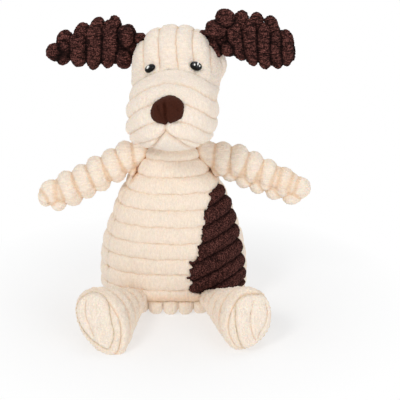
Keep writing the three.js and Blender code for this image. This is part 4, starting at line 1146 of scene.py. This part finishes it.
def buildEyes():
    heart = np.array(head["cranium"]["centre"])
    for name, facts in eyes["beads"].items():
        way = unit(np.array(facts["centre"]) - heart)
        point = surfaceAlong(headDistance, heart[None], way[None])[0]
        normal = outwards(headDistance, point[None], 0.05)[0]
        level = unit(np.cross((0, 0, 1.0), normal))
        upright = np.cross(normal, level)
        roll = math.radians(facts["roll"])
        across = level * math.cos(roll) + upright * math.sin(roll)
        up = upright * math.cos(roll) - level * math.sin(roll)
        wide, tall = facts["radii"]
        shank = eyes["shank"]
        neck = (shank["radius"] / wide, shank["radius"] / tall)
        arc = np.linspace(eyes["pole"], math.pi / 2, eyes["domeRows"])
        profile = [(math.sin(a), math.sin(a), eyes["floor"] + math.cos(a) * eyes["dome"]) for a in arc]
        profile += [(share, share, eyes["floor"] + height) for share, height in eyes["underside"]]
        profile += [(*neck, eyes["floor"] + shank["top"]), (*neck, shank["end"]), shank["tip"]]
        spin = np.linspace(0, 2 * math.pi, eyes["columns"], endpoint=False)[:, None]
        rings = [
            point + normal * height + np.cos(spin) * across * wide * a + np.sin(spin) * up * tall * b
            for a, b, height in reversed(profile)
        ]
        grid = turnedHead(np.array(rings))
        normals = unit(grid - turnedHead(point))
        keep = np.ones(grid.shape[:2], bool)
        # A glint, a painted reflection of a lamp, is its place (x, z) on the bead, its half sizes and its
        # lean
        glint = np.zeros(keep.shape)
        offset = grid - turnedHead(point + normal * (eyes["floor"] + eyes["dome"]))
        for x, z, halfWide, halfTall, lean in facts["glints"]:
            sideways, upwards = offset[..., 0] - x, offset[..., 2] - z
            bend = math.radians(lean)
            wide = (sideways * math.cos(bend) - upwards * math.sin(bend)) / halfWide
            tall = (sideways * math.sin(bend) + upwards * math.cos(bend)) / halfTall
            glint = np.maximum(glint, smooth(*eyes["glintEdge"], np.hypot(wide, tall)))
        piece = clothPiece(f"eyeBead_{name}", grid, normals, {"glint": glint}, keep)
        finished(piece, "bead", "eye_black", f"eye_{name}")
        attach(piece, "head")
    print("eyes", list(eyes["beads"]))


# Ears: each layer is a row of lobes fused into one skin. A lobe is its top and bottom (x, z),
# half its width, and how far its middle bows in x. The folds stand in front of the ear's root.
ears = {
    "right": {
        "front": [
            ((-60.4, 156.1), (-62.7, 142.3), 3.8, 0), ((-52.8, 161.6), (-53.0, 141.2), 4.7, 0),
            ((-43.0, 166.8), (-45.0, 139.9), 4.7, 0.7), ((-34.8, 168.3), (-37.0, 140.7), 4.7, 1.1),
            ((-28.1, 153.0), (-26.7, 140.4), 4.1, 0), ((-71.4, 150.2), (-58.0, 149.0), 4.7, 0),
        ],
        "back": [
            ((-59.9, 161.9), (-61.8, 142.9), 4.7, 0), ((-49.5, 166.3), (-51.5, 142.4), 5.3, 0),
            ((-40.9, 169.7), (-42.3, 142.0), 5.0, 0), ((-31.8, 170.4), (-33.7, 142.6), 4.4, 0),
            ((-25.8, 164.5), (-25.1, 141.6), 3.5, 0),
        ],
        "folds": [((-26.5, 165.8), (-25.1, 153.7), 3.8, 0), ((-28.0, 162.7), (-27.6, 154.2), 1.8, 0)],
        "links": [
            ((-22.7, 157.4), (-14.6, 158.9), 2.5, 0), ((-24.6, 166.0), (-24.2, 147.0), 4.2, 0),
            ((-28.6, 164.0), (-28.0, 145.0), 4.0, 0),
        ],
        "seed": 17,
    },
    "left": {
        "front": [
            ((34.3, 170.1), (40.1, 146.1), 4.1, -1.5), ((43.7, 169.9), (46.4, 143.0), 4.1, -1.2),
            ((51.5, 167.5), (53.2, 141.1), 4.2, -0.4), ((57.7, 163.0), (60.2, 141.7), 3.8, -0.6),
            ((63.4, 160.3), (64.9, 143.2), 3.5, 0), ((32.2, 157.7), (32.2, 148.3), 4.4, 0),
        ],
        "back": [
            ((38.7, 174.0), (40.2, 147.0), 5.0, 0), ((47.1, 173.1), (48.7, 144.8), 5.0, 0),
            ((54.9, 171.2), (56.7, 142.6), 5.0, 0), ((62.9, 163.5), (64.0, 143.8), 4.9, 0),
            ((29.9, 166.2), (31.2, 149.2), 4.7, 0), ((67.6, 154.7), (68.1, 145.6), 1.5, 0),
        ],
        "folds": [((25.3, 169.1), (23.7, 159.0), 5.3, 0), ((30.3, 175.4), (29.2, 165.5), 4.9, 0)],
        "links": [
            ((15.9, 161.5), (21.0, 160.4), 1.6, 0), ((21.0, 159.6), (27.2, 147.7), 3.5, 0),
            ((28.6, 169.5), (29.0, 151.5), 4.6, 0),
        ],
        "seed": 11,
    },
    "seamY": 3.0,
    "seamTurn": 0.0523,
    "apart": 1.2,
    "foldAhead": 3.2,
    "halfDepth": 4.1,
    "depthShare": 1.15,
    "swell": 1.1,
    "linkDepth": 3.2,
    "pileShare": 1.05,
    "pileLift": 0.1,
    "covered": (0.6, -1.2),
    "bendReach": 5,
    "power": 2.6,
    "voxel": 0.42,
    "softening": 3,
    "root": {"right": (-23.23, 4.222, 151.008), "left": (25.941, 1.645, 151.008)},
    "droop": 3.0,
    "fill": 0.55,
}


def earLobes(entries, ahead, deep):
    lobes = []
    for (topX, topZ), (lowX, lowZ), across, bow in entries:
        low = (lowX, ears["seamY"] - ears["seamTurn"] * lowX - ahead, lowZ)
        high = (topX, ears["seamY"] - ears["seamTurn"] * topX - ahead, topZ)
        across = across * ears["swell"]
        deepest = min(deep, across * ears["depthShare"])
        lobes.append(lobe(low, high, across, deepest, ears["power"], (bow, 0, 0)))
    return lobes


def buildEar(name):
    facts = ears[name]
    links = earLobes(facts["links"], 0, ears["linkDepth"])
    folds = earLobes(facts["folds"], ears["foldAhead"], ears["halfDepth"])
    layers = {
        "front": earLobes(facts["front"], ears["apart"], ears["halfDepth"]) + links + folds,
        "back": earLobes(facts["back"], -ears["apart"], ears["halfDepth"]) + links,
    }
    pieces = []
    for layer, sign, other in (("front", 1, "back"), ("back", -1, "front")):
        piece, places, ways, crest = fusedLobes(
            f"earPlush_{name}_{layer}", layers[layer], ears["voxel"], ears["softening"])
        lift = pileHeight(places, facts["seed"], ears["pileShare"], combed=0) + ears["pileLift"]
        places = places + ways * lift[:, None]
        # Where the other layer covers it, a layer is flat against the seam plane
        plane = ears["seamY"] - ears["seamTurn"] * places[:, 0]
        gap = np.min([lobeGauge(places, roll, flat=True) for roll in layers[other]], axis=0)
        covered = smooth(*ears["covered"], gap)
        behind = np.maximum(sign * (places[:, 1] - plane), 0)
        places[:, 1] -= sign * behind * covered
        writePoints(piece.data, places, {"crest": crest, "seam": crest * 0})
        finished(piece, "earBrown", "brown_plush", f"ear_{name}_{layer}")
        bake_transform(piece)
        pieces.append(piece)
    print("ear", name, [len(piece.data.polygons) for piece in pieces])


# Arms: fused lobes round a core. A lobe is its top and bottom (x, z) and half its width.
arms = {
    "right": {
        "lobes": [
            ((-28.9, 99.7), (-24.2, 80.9), 5.0), ((-37.5, 95.4), (-30.1, 75.8), 5.1),
            ((-46.1, 91.7), (-39.4, 70.6), 5.1), ((-54.2, 87.1), (-47.5, 66.8), 5.1),
            ((-63.3, 83.5), (-55.1, 63.0), 5.1), ((-70.6, 79.0), (-68.4, 64.0), 5.3),
        ],
        "extras": [
            ((-74.2, 74.5), (-72.4, 63.6), 3.6), ((-67.5, 70.5), (-64.3, 60.6), 4.4),
            ((-23.5, 88.2), (-22.0, 77.1), 2.9),
        ],
        "core": [(-15.0, 94.0), (-27.0, 89.0), (-43.0, 80.5), (-68.0, 71.0)],
        "rootDroop": 32.0, "tipDroop": 17.0, "side": -1, "seed": 9,
    },
    "left": {
        "lobes": [
            ((29.1, 99.7), (28.7, 78.8), 5.3), ((39.4, 98.5), (36.2, 78.6), 5.0),
            ((47.7, 94.8), (44.9, 75.6), 4.9), ((56.0, 90.8), (53.0, 71.8), 4.7),
            ((65.1, 86.3), (62.8, 68.2), 5.0), ((72.2, 81.1), (73.3, 68.0), 5.2),
        ],
        "extras": [
            ((32.7, 85.7), (34.5, 76.4), 4.8), ((40.2, 82.6), (42.6, 72.9), 4.7),
            ((48.2, 79.4), (51.3, 70.3), 5.0), ((57.4, 76.4), (60.5, 67.2), 5.2),
            ((67.7, 74.0), (70.3, 65.0), 5.6), ((23.4, 87.6), (26.9, 78.7), 2.7),
        ],
        "core": [(15.0, 94.0), (27.0, 89.5), (45.0, 84.5), (70.0, 75.5)],
        "rootDroop": 23.0, "tipDroop": 18.0, "side": 1, "seed": 8,
    },
    "root": (16.0, -2.0, 97.0),
    "length": 67.7,
    "forward": 11.0,
    "depth": 9.3,
    "swell": 1.28,
    "extraSwell": 1.0,
    "shrink": 0.95,
    "power": 2.3,
    "extraAhead": 1.0,
    "deepAt": 10.0,
    "leastDeep": 0.55,
    "coreRadius": 7.0,
    "coreOverlap": 4,
    "corePower": 6,
    "voxel": 0.45,
    "softening": 2,
    "linePoints": 80,
    "seamStart": (0, 8),
    "seamBearing": 0.5,
    "seamDepth": 0.3,
    "seamWidth": 0.1,
    "seamShade": 0.15,
    "pileLift": 0.1,
    "bend": (-2.0, 13.0),
    "fill": 0.85,
}


def armPoint(facts, along):
    t = along / arms["length"] / 2
    droop = np.radians(facts["rootDroop"] * (1 - t) + facts["tipDroop"] * t)
    forward = math.radians(arms["forward"])
    flat = np.cos(droop) * along
    rootX, rootY, rootZ = arms["root"]
    return np.stack([
        facts["side"] * (rootX + flat * math.cos(forward)), rootY - flat * math.sin(forward),
        rootZ - np.sin(droop) * along,
    ], axis=-1)


# A place in the arm's own upright plane, which leans forward away from the body
def inArmPlane(x, z, ahead=0.0):
    rootX, rootY, _ = arms["root"]
    return np.array([x, rootY - (abs(x) - rootX) * math.tan(math.radians(arms["forward"])) - ahead, z])


def armLobes(facts):
    lobes = []
    rolls = (facts["lobes"], arms["swell"], 0.0), (facts["extras"], arms["extraSwell"], arms["extraAhead"])
    for entries, swell, ahead in rolls:
        for (topX, topZ), (lowX, lowZ), across in entries:
            high, low = inArmPlane(topX, topZ, ahead), inArmPlane(lowX, lowZ, ahead)
            middle = (high + low) / 2
            half = (high - low) / 2 * arms["shrink"]
            deep = arms["depth"] * np.clip(np.linalg.norm(half) / arms["deepAt"], arms["leastDeep"], 1.0)
            lobes.append(lobe(middle - half, middle + half, across * swell, deep, arms["power"]))
    return lobes


def buildArm(name):
    facts = arms[name]
    core = [inArmPlane(x, z) for x, z in facts["core"]]
    lobes = armLobes(facts)
    for start, end in zip(core, core[1:]):
        reach, radius = unit(end - start) * arms["coreOverlap"], arms["coreRadius"]
        lobes.append(lobe(start - reach, end + reach, radius, radius, arms["corePower"]))
    piece, places, ways, crest = fusedLobes(f"armPlush_{name}", lobes, arms["voxel"], arms["softening"])
    # The seam along the arm's underside, found by the bearing from the arm's middle line
    line = armPoint(facts, np.linspace(0, arms["length"], arms["linePoints"]))
    nearest = np.argmin(((places[:, None] - line[None]) ** 2).sum(-1), axis=1)
    offset = unit(places - line[nearest])
    seamLine = bell(offset[:, 2] + arms["seamBearing"], arms["seamWidth"])
    seamLine = seamLine * smooth(*arms["seamStart"], nearest)
    lift = pileHeight(places, facts["seed"], 1.0, combed=0) + arms["pileLift"]
    lift = lift - arms["seamDepth"] * seamLine
    # Its seam darkens the underside, and painted shade darkens it where the body presses on the arm
    seam = np.maximum(arms["seamShade"] * seamLine, pressedShade(bodyDistance(places)))
    values = {"crest": crest, "seam": seam}
    writePoints(piece.data, places + ways * lift[:, None], values)
    finished(piece, "armCream", "cream_plush", f"arm_{name}_cover")
    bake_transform(piece)
    print("arm", name, len(piece.data.polygons))


# Legs. Each foot has its own sole outline and grooves, as (wide, tall) about the leg's middle line.
legs = {
    "right": {
        "forward": (-0.321, -0.933, 0.165), "tall": (-0.438, 0.301, 0.847), "side": -1, "seed": 12,
        "up": 18.0, "down": 21.2, "plus": 12.1, "minus": 13.9,
        "sole": [
            (-7.7, 15.2), (-10.6, 11.9), (-11.5, 7.4), (-10.7, 3.5), (-9.1, -1.9), (-7.8, -7.4),
            (-6.0, -10.9), (-3.0, -13.3), (0.0, -15.7), (2.4, -13.3), (4.6, -10.0), (6.7, -6.4), (8.2, -2.8),
            (9.2, 1.6), (9.1, 6.8), (8.1, 12.4), (3.9, 16.2), (-1.3, 17.0), (-4.6, 16.9),
        ],
        "grooves": [[(-1.0, 14.1), (1.9, 9.9), (3.5, 4.5), (3.8, 0.3), (4.3, -3.1), (4.0, -5.1)]],
    },
    "left": {
        "forward": (0.353, -0.921, 0.165), "tall": (0.207, 0.249, 0.946), "side": 1, "seed": 10,
        "up": 17.8, "down": 15.6, "plus": 12.5, "minus": 14.9,
        "sole": [
            (9.5, 9.8), (9.2, 5.9), (8.2, 0.4), (6.1, -5.0), (3.9, -9.2), (0.5, -13.4), (-2.3, -15.0),
            (-6.3, -13.7), (-9.6, -9.4), (-12.4, -5.6), (-14.2, -1.4), (-14.5, 3.7), (-12.7, 9.8),
            (-10.2, 14.0), (-6.4, 16.9), (-1.7, 16.3), (3.1, 15.6), (7.4, 13.4),
        ],
        "grooves": [
            [(-0.1, 12.7), (0.4, 8.1), (0.0, 2.5), (-1.8, -2.3), (-3.9, -6.1), (-6.3, -8.6)],
            [(-7.6, 12.0), (-9.7, 8.3), (-10.0, 4.3), (-9.3, -0.3), (-7.7, -3.9), (-7.3, -7.4)],
        ],
    },
    "length": 58.0,
    "root": (22.0, -19.0, 7.6),
    "rows": [-0.1, 0.12, 0.35, 0.55, 0.72, 0.86, 1.2],
    "tallShares": [0.32, 0.36, 0.56, 0.75, 0.91, 1, 1],
    "wideShares": [0.62, 0.68, 0.8, 0.91, 0.98, 1, 1],
    "startShare": -0.1,
    "capShare": 0.88,
    "capRows": 0.62,
    "capEnd": 0.997,
    "capRise": 0.8,
    "capNarrowing": 0.5,
    "squareness": 2.2,
    "heelTaper": 0.28,
    "heelPower": 1.5,
    "floor": 0.3,
    "pitch": 11.0,
    "coverWobble": [(0.04, 9.0, 61)],
    "coverPower": 1.7,
    "coverRelief": 2.0,
    "coverLevel": 0.6,
    # How dark the painted shadow in the cover's grooves is, between these heights of a wale's back
    "shadow": 0.4,
    "shadowBack": (0.85, 0.25),
    "shadowEnd": (1, 5),
    "contact": {"shade": 0.5, "near": (3.5, 0.5), "inside": (-1.3, -0.2)},
    "puff": 1.3,
    "puffWidth": 3.6,
    "puffPower": 2.2,
    "puffLevel": 0.35,
    "soleRim": 0.6,
    "seam": (0.4, 0.2),
    "pileShare": 1.2,
    "bend": (2, 20),
    "rowCount": 230,
    "columns": 240,
    "cell": 0.3,
    "fill": 0.85,
}


def legForm(facts):
    forward, tall = unit(facts["forward"]), np.array(facts["tall"])
    tall = unit(tall - forward * (tall @ forward))
    wide = np.cross(forward, tall)
    root = np.array([facts["side"] * legs["root"][0], legs["root"][1], legs["root"][2]])
    # Rows run down the leg, then over its rounded end
    fall = np.linspace(0, 1, legs["rowCount"])
    startShare, capShare, capRows = legs["startShare"], legs["capShare"], legs["capRows"]
    share = startShare + (capShare - startShare) * np.minimum(fall / capRows, 1)
    cap = np.clip((fall - capRows) / (1 - capRows), 0, legs["capEnd"]) * math.pi / 2
    share = share + (1 - capShare) * np.sin(cap) ** legs["capRise"]
    narrow = np.cos(cap) ** legs["capNarrowing"]
    angles = np.linspace(0, 2 * math.pi, legs["columns"], endpoint=False)
    bulge = lambda wave: np.sign(wave) * np.abs(wave) ** (2 / legs["squareness"])
    rise, out = bulge(np.cos(angles)), bulge(np.sin(angles))
    tallReach = np.where(rise > 0, facts["up"], facts["down"]) * rise
    wideReach = np.where(out > 0, facts["plus"], facts["minus"]) * out
    wideReach = wideReach * (1 - legs["heelTaper"] * np.clip(-rise, 0, 1) ** legs["heelPower"])
    tallSize = readTable(legs["rows"], legs["tallShares"], share) * narrow
    wideSize = readTable(legs["rows"], legs["wideShares"], share) * narrow
    centre = root + forward * (share * legs["length"])[:, None]
    grid = centre[:, None] + (tallReach * tallSize[:, None])[..., None] * tall
    grid = grid + (wideReach * wideSize[:, None])[..., None] * wide
    acrossRow = np.roll(grid, -1, axis=1) - np.roll(grid, 1, axis=1)
    normals = unit(np.cross(acrossRow, np.gradient(grid, axis=0)))
    normals *= np.sign((normals * (grid - centre[:, None])).sum(-1).mean())
    return {"grid": grid, "normals": normals, "cell": legs["cell"]}, root, forward, tall, wide


def buildLeg(name):
    facts = legs[name]
    form, root, forward, tall, wide = legForm(facts)
    loop = rounded(facts["sole"], 2)
    soleStart = legs["capShare"] * legs["length"]
    sideways = lambda points: (points - root) @ wide
    upwards = lambda points: (points - root) @ tall
    ahead = lambda points: (points - root) @ forward
    outline = lambda points: outlineField(loop, sideways(points), upwards(points))
    inSole = lambda points: np.minimum(outline(points), ahead(points) - soleStart)
    outside = lambda points: -inSole(points)
    flatten = lambda points, crest: onFloor(points, floor=legs["floor"])

    def coverHeight(grid):
        phase = ahead(grid) / legs["pitch"] + layered(grid, legs["coverWobble"])
        back = waleBack(phase, legs["coverPower"])
        return (back - legs["coverLevel"]) * legs["coverRelief"], back

    # Painted shade on the cover: a painted shadow in its grooves, and painted shade where the body presses on
    # it
    def shadowed(grid):
        grooves = smooth(*legs["shadowBack"], coverHeight(grid)[1])
        clear, full = (soleStart - gap for gap in legs["shadowEnd"])
        grooves = grooves * smooth(clear, full, ahead(grid))
        gap, contact = bodyDistance(grid), legs["contact"]
        near = contact["shade"] * smooth(*contact["near"], gap) * smooth(*contact["inside"], gap)
        return np.maximum(near, legs["shadow"] * grooves)

    def soleHeight(grid):
        lines = [lineGap(line, sideways(grid), upwards(grid)) for line in facts["grooves"]]
        gap = np.min(lines + [inSole(grid) + legs["soleRim"]], axis=0)
        share = np.clip(gap / legs["puffWidth"], 0, 1)
        back = np.sqrt(np.clip(1 - (1 - share) ** legs["puffPower"], 0, 1))
        return (back - legs["puffLevel"]) * legs["puff"], back

    seed, share = facts["seed"], legs["pileShare"]
    cover = panel(f"legPlush_{name}_cover", form, [(outside, *legs["seam"])], coverHeight, seed,
                  flatten=flatten, share=share, combed=1, paintedShade=shadowed)
    sole = panel(f"legPlush_{name}_sole", form, [(inSole, *legs["seam"])], soleHeight, seed,
                 flatten=flatten, share=share)
    finished(cover, "cream", "cream_plush", f"leg_{name}_cover")
    finished(sole, "sole", "cream_plush", f"leg_{name}_sole")
    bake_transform(cover)
    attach(sole, f"leg_{name}")
    print("leg", name, [len(piece.data.polygons) for piece in (cover, sole)])
    # The seam round the sole, for its stitches
    grid = form["grid"][ahead(form["grid"]) > soleStart]
    places = np.stack([sideways(grid), upwards(grid)], axis=-1)
    nearest = [np.argmin(((places - spot) ** 2).sum(-1)) for spot in np.array(loop + loop[:1])]
    return flatten(grid[nearest], None)


# Stitches: short threads along a seam's lines, half sunk in the pile

seamThreads = {"spacing": 2.7, "length": 1.5, "thickness": 0.4, "unevenness": (0.75, 1.15), "seed": 5}


def stitchTree():
    tree = bpy.data.node_groups.new("seamStitches", "GeometryNodeTree")
    kinds = {
        "Geometry": "NodeSocketGeometry", "Spacing": "NodeSocketFloat", "Length": "NodeSocketFloat",
        "Thickness": "NodeSocketFloat", "Seed": "NodeSocketInt",
    }
    sockets = {
        key: tree.interface.new_socket(name=key, in_out="INPUT", socket_type=kind).identifier
        for key, kind in kinds.items()
    }
    tree.interface.new_socket(name="Geometry", in_out="OUTPUT", socket_type="NodeSocketGeometry")
    given = tree.nodes.new("NodeGroupInput").outputs
    spacing, length, thickness = (given[key] for key in ("Spacing", "Length", "Thickness"))
    curve = addNode(tree, "GeometryNodeMeshToCurve", Mesh=given["Geometry"]).outputs["Curve"]
    spaced = addNode(tree, "GeometryNodeResampleCurve", {"mode": "LENGTH"}, Curve=curve, Length=spacing)
    along = tree.nodes.new("GeometryNodeInputTangent").outputs["Tangent"]
    turned = addNode(tree, "FunctionNodeAlignRotationToVector", {"axis": "Z"}, Vector=along)
    # A thread is a small ball, drawn out along the seam by an uneven size
    thread = addNode(tree, "GeometryNodeMeshUVSphere", Segments=6, Rings=5, Radius=0.5)
    size = addNode(tree, "ShaderNodeCombineXYZ", X=thickness, Y=thickness, Z=length)
    uneven = addNode(tree, "FunctionNodeRandomValue", {"data_type": "FLOAT"}, Seed=given["Seed"])
    low, high = [socket for socket in uneven.inputs if socket.enabled and socket.name in ("Min", "Max")]
    low.default_value, high.default_value = seamThreads["unevenness"]
    amount = next(socket for socket in uneven.outputs if socket.enabled)
    scaled = addNode(
        tree, "ShaderNodeVectorMath", {"operation": "SCALE"}, Vector=size.outputs["Vector"], Scale=amount)
    placed = addNode(
        tree, "GeometryNodeInstanceOnPoints", Points=spaced.outputs["Curve"], Instance=thread.outputs["Mesh"],
        Rotation=turned.outputs["Rotation"], Scale=scaled.outputs["Vector"])
    real = addNode(tree, "GeometryNodeRealizeInstances", Geometry=placed.outputs["Instances"])
    painted = addNode(
        tree, "GeometryNodeSetMaterial", Geometry=real.outputs["Geometry"], Material=materials["seamThread"])
    addNode(tree, "NodeGroupOutput", Geometry=painted.outputs["Geometry"])
    return tree, sockets


stitchNodes, stitchSockets = stitchTree()


def stitched(name, lines, body):
    edges, start = [], 0
    for line in lines:
        edges += [(start + k, start + k + 1) for k in range(len(line) - 1)]
        start += len(line)
    mesh = bpy.data.meshes.new(name)
    mesh.from_pydata([tuple(point) for point in np.vstack(lines) * metre], edges, [])
    thing = addObject(name, mesh)
    modifier = thing.modifiers.new("stitches", "NODES")
    modifier.node_group = stitchNodes
    for key in ("spacing", "length", "thickness"):
        modifier[stitchSockets[key.capitalize()]] = seamThreads[key] * metre
    modifier[stitchSockets["Seed"]] = seamThreads["seed"]
    settle(thing)
    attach(thing, body)
    print(name, len(thing.data.polygons))
    return thing


# What is inside: fibre stuffing, squeaker, washers, film and thread

stuffing = {
    "riders": {
        "body_stuffing_front": "torso", "body_stuffing_back": "torso", "head_stuffing": "head",
        "arm_left_stuffing": "arm_left", "arm_right_stuffing": "arm_right",
        "leg_left_stuffing": "leg_left", "leg_right_stuffing": "leg_right",
    },
    "voxel": 1.6, "inwards": 1.6, "fluff": [(0.35, 3.0, 71), (0.2, 1.1, 72)], "fill": 0.8,
}

# The nodes that stay as they are, and their materials
keptNodes = {
    "squeaker_front": "bladder", "squeaker_fold": "bladder", "squeaker_cup": "bladder",
    "squeaker_plug": "washer", "squeaker_reed": "reed", "neck_thread": "thread",
    "eye_washer_left": "washer", "eye_washer_right": "washer",
    "ear_left_film": "film", "ear_right_film": "film",
}


def buildStuffing(node, rider):
    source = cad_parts[node]
    thing = addObject(f"fibre_{node}", source.data.copy())
    thing.data.transform(source.matrix_world)
    remesh = thing.modifiers.new("even", "REMESH")
    remesh.mode = "VOXEL"
    remesh.voxel_size = stuffing["voxel"] * metre
    settle(thing)
    places, ways = readPoints(thing.data)
    inwards = stuffing["inwards"] + layered(places, stuffing["fluff"])
    writePoints(thing.data, places - ways * inwards[:, None], {})
    finished(thing, "stuffing", "stuffing_white", node)
    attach(thing, rider)
    return thing


def buildInside():
    pieces = [buildStuffing(node, rider) for node, rider in stuffing["riders"].items()]
    for node, materialKey in keptNodes.items():
        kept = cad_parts[node].data.materials
        kept.clear()
        kept.append(materials[materialKey])
    print("inside", len(pieces), "stuffed and", len(keptNodes), "kept")
    return pieces


# Floor, light and camera. A light is its place, size, power and colour.

studio = {
    "camera": {"position": (15.9, -610.8, 284.6), "target": (15.9, 0.0, 62.3)},
    "sensor": 36.0,
    "lens": 99.2,
    "aim": (0, 0, 70),
    "lights": {
        "keyLight": ((-450, -750, 750), (300, 260), 3.48, (1.0, 0.985, 0.965)),
        "fillLight": ((600, -750, 220), (450, 400), 1.84, (1.0, 1.0, 1.0)),
        "topLight": ((100, 250, 1000), (800, 600), 2.25, (1.0, 1.0, 1.0)),
    },
    "floorSize": 6.0,
    "floorColours": ((0.93, 0.93, 0.93, 1), (0.95, 0.95, 0.95, 1)),
    # The floor turns to plain white between these distances from the toy, in metres
    "floorFade": (0.07, 0.15),
    "world": (0.96, 0.98, 1, 1),
    "worldStrength": 0.56,
}


# Seen by the camera, in gloss and through glass, the world is white. It lights the toy less.
def buildWorld():
    world = bpy.data.worlds.new("studio")
    bpy.context.scene.world = world
    world.use_nodes = True
    tree = world.node_tree
    tree.nodes.clear()
    path = tree.nodes.new("ShaderNodeLightPath")
    shown = path.outputs["Is Camera Ray"]
    for ray in ("Is Glossy Ray", "Is Transmission Ray"):
        shown = maths(tree, "MAXIMUM", shown, path.outputs[ray])
    seen = addNode(tree, "ShaderNodeBackground", Color=(1, 1, 1, 1), Strength=1.0)
    lit = addNode(tree, "ShaderNodeBackground", Color=studio["world"], Strength=studio["worldStrength"])
    chosen = tree.nodes.new("ShaderNodeMixShader")
    feed(tree, chosen, {0: shown, 1: lit.outputs[0], 2: seen.outputs[0]})
    addNode(tree, "ShaderNodeOutputWorld", Surface=chosen.outputs[0])


def buildFloor():
    bpy.ops.mesh.primitive_plane_add(size=studio["floorSize"], location=(0, 0, 0))
    floor = bpy.context.active_object
    floor.name = "paleFloor"
    material, tree, shader, place = newMaterial("paleFloor")
    colours = mixed(tree, noise(tree, place, Scale=6.0), *studio["floorColours"])
    feed(tree, shader, {"Base Color": colours, "Roughness": 0.9, "Specular IOR Level": 0.1})
    far = addNode(tree, "ShaderNodeVectorMath", {"operation": "LENGTH"}, Vector=place).outputs["Value"]
    white = addNode(tree, "ShaderNodeEmission", Color=(1, 1, 1, 1), Strength=1.0)
    blend = tree.nodes.new("ShaderNodeMixShader")
    share = ranged(tree, far, *studio["floorFade"], 0.5, 1.0)
    feed(tree, blend, {0: share, 1: shader.outputs[0], 2: white.outputs[0]})
    feed(tree, tree.nodes["Material Output"], {"Surface": blend.outputs[0]})
    floor.data.materials.append(material)


def aimed(thing, position, target):
    thing.location = Vector(position) * metre
    thing.rotation_euler = (Vector(target) - Vector(position)).to_track_quat("-Z", "Y").to_euler()


def buildLights():
    for name, (position, size, power, colour) in studio["lights"].items():
        data = bpy.data.lights.new(name, "AREA")
        data.shape = "RECTANGLE"
        data.size, data.size_y = (length * metre for length in size)
        data.energy = power
        data.color = colour
        aimed(addObject(name, data), position, studio["aim"])
    print("lights", list(studio["lights"]))


def buildCamera():
    data = bpy.data.cameras.new("camera")
    data.sensor_width = studio["sensor"]
    data.lens = studio["lens"]
    data.clip_start = 0.05
    camera = addObject("camera", data)
    aimed(camera, **studio["camera"])
    bpy.context.scene.camera = camera


buildCamera()
buildFloor()
buildWorld()
buildLights()
torsoPieces = buildBody()
buildHead()
buildNose()
buildEyes()
bodyStitches = stitched("bodyStitches", bodySeamLines(), "torso")
stitched("headStitches", headSeamLines(), "head")
for sideName, sideSign in (("left", 1), ("right", -1)):
    buildEar(sideName)
    buildArm(sideName)
    soleLine = buildLeg(sideName)
    stitched(f"soleStitches_{sideName}", [soleLine], f"leg_{sideName}")
stuffedPieces = buildInside()

for squashed in torsoPieces + [bodyStitches] + stuffedPieces[:2]:
    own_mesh(squashed)

scene = bpy.context.scene
scene.view_settings.view_transform = "Standard"
scene.view_settings.look = "None"
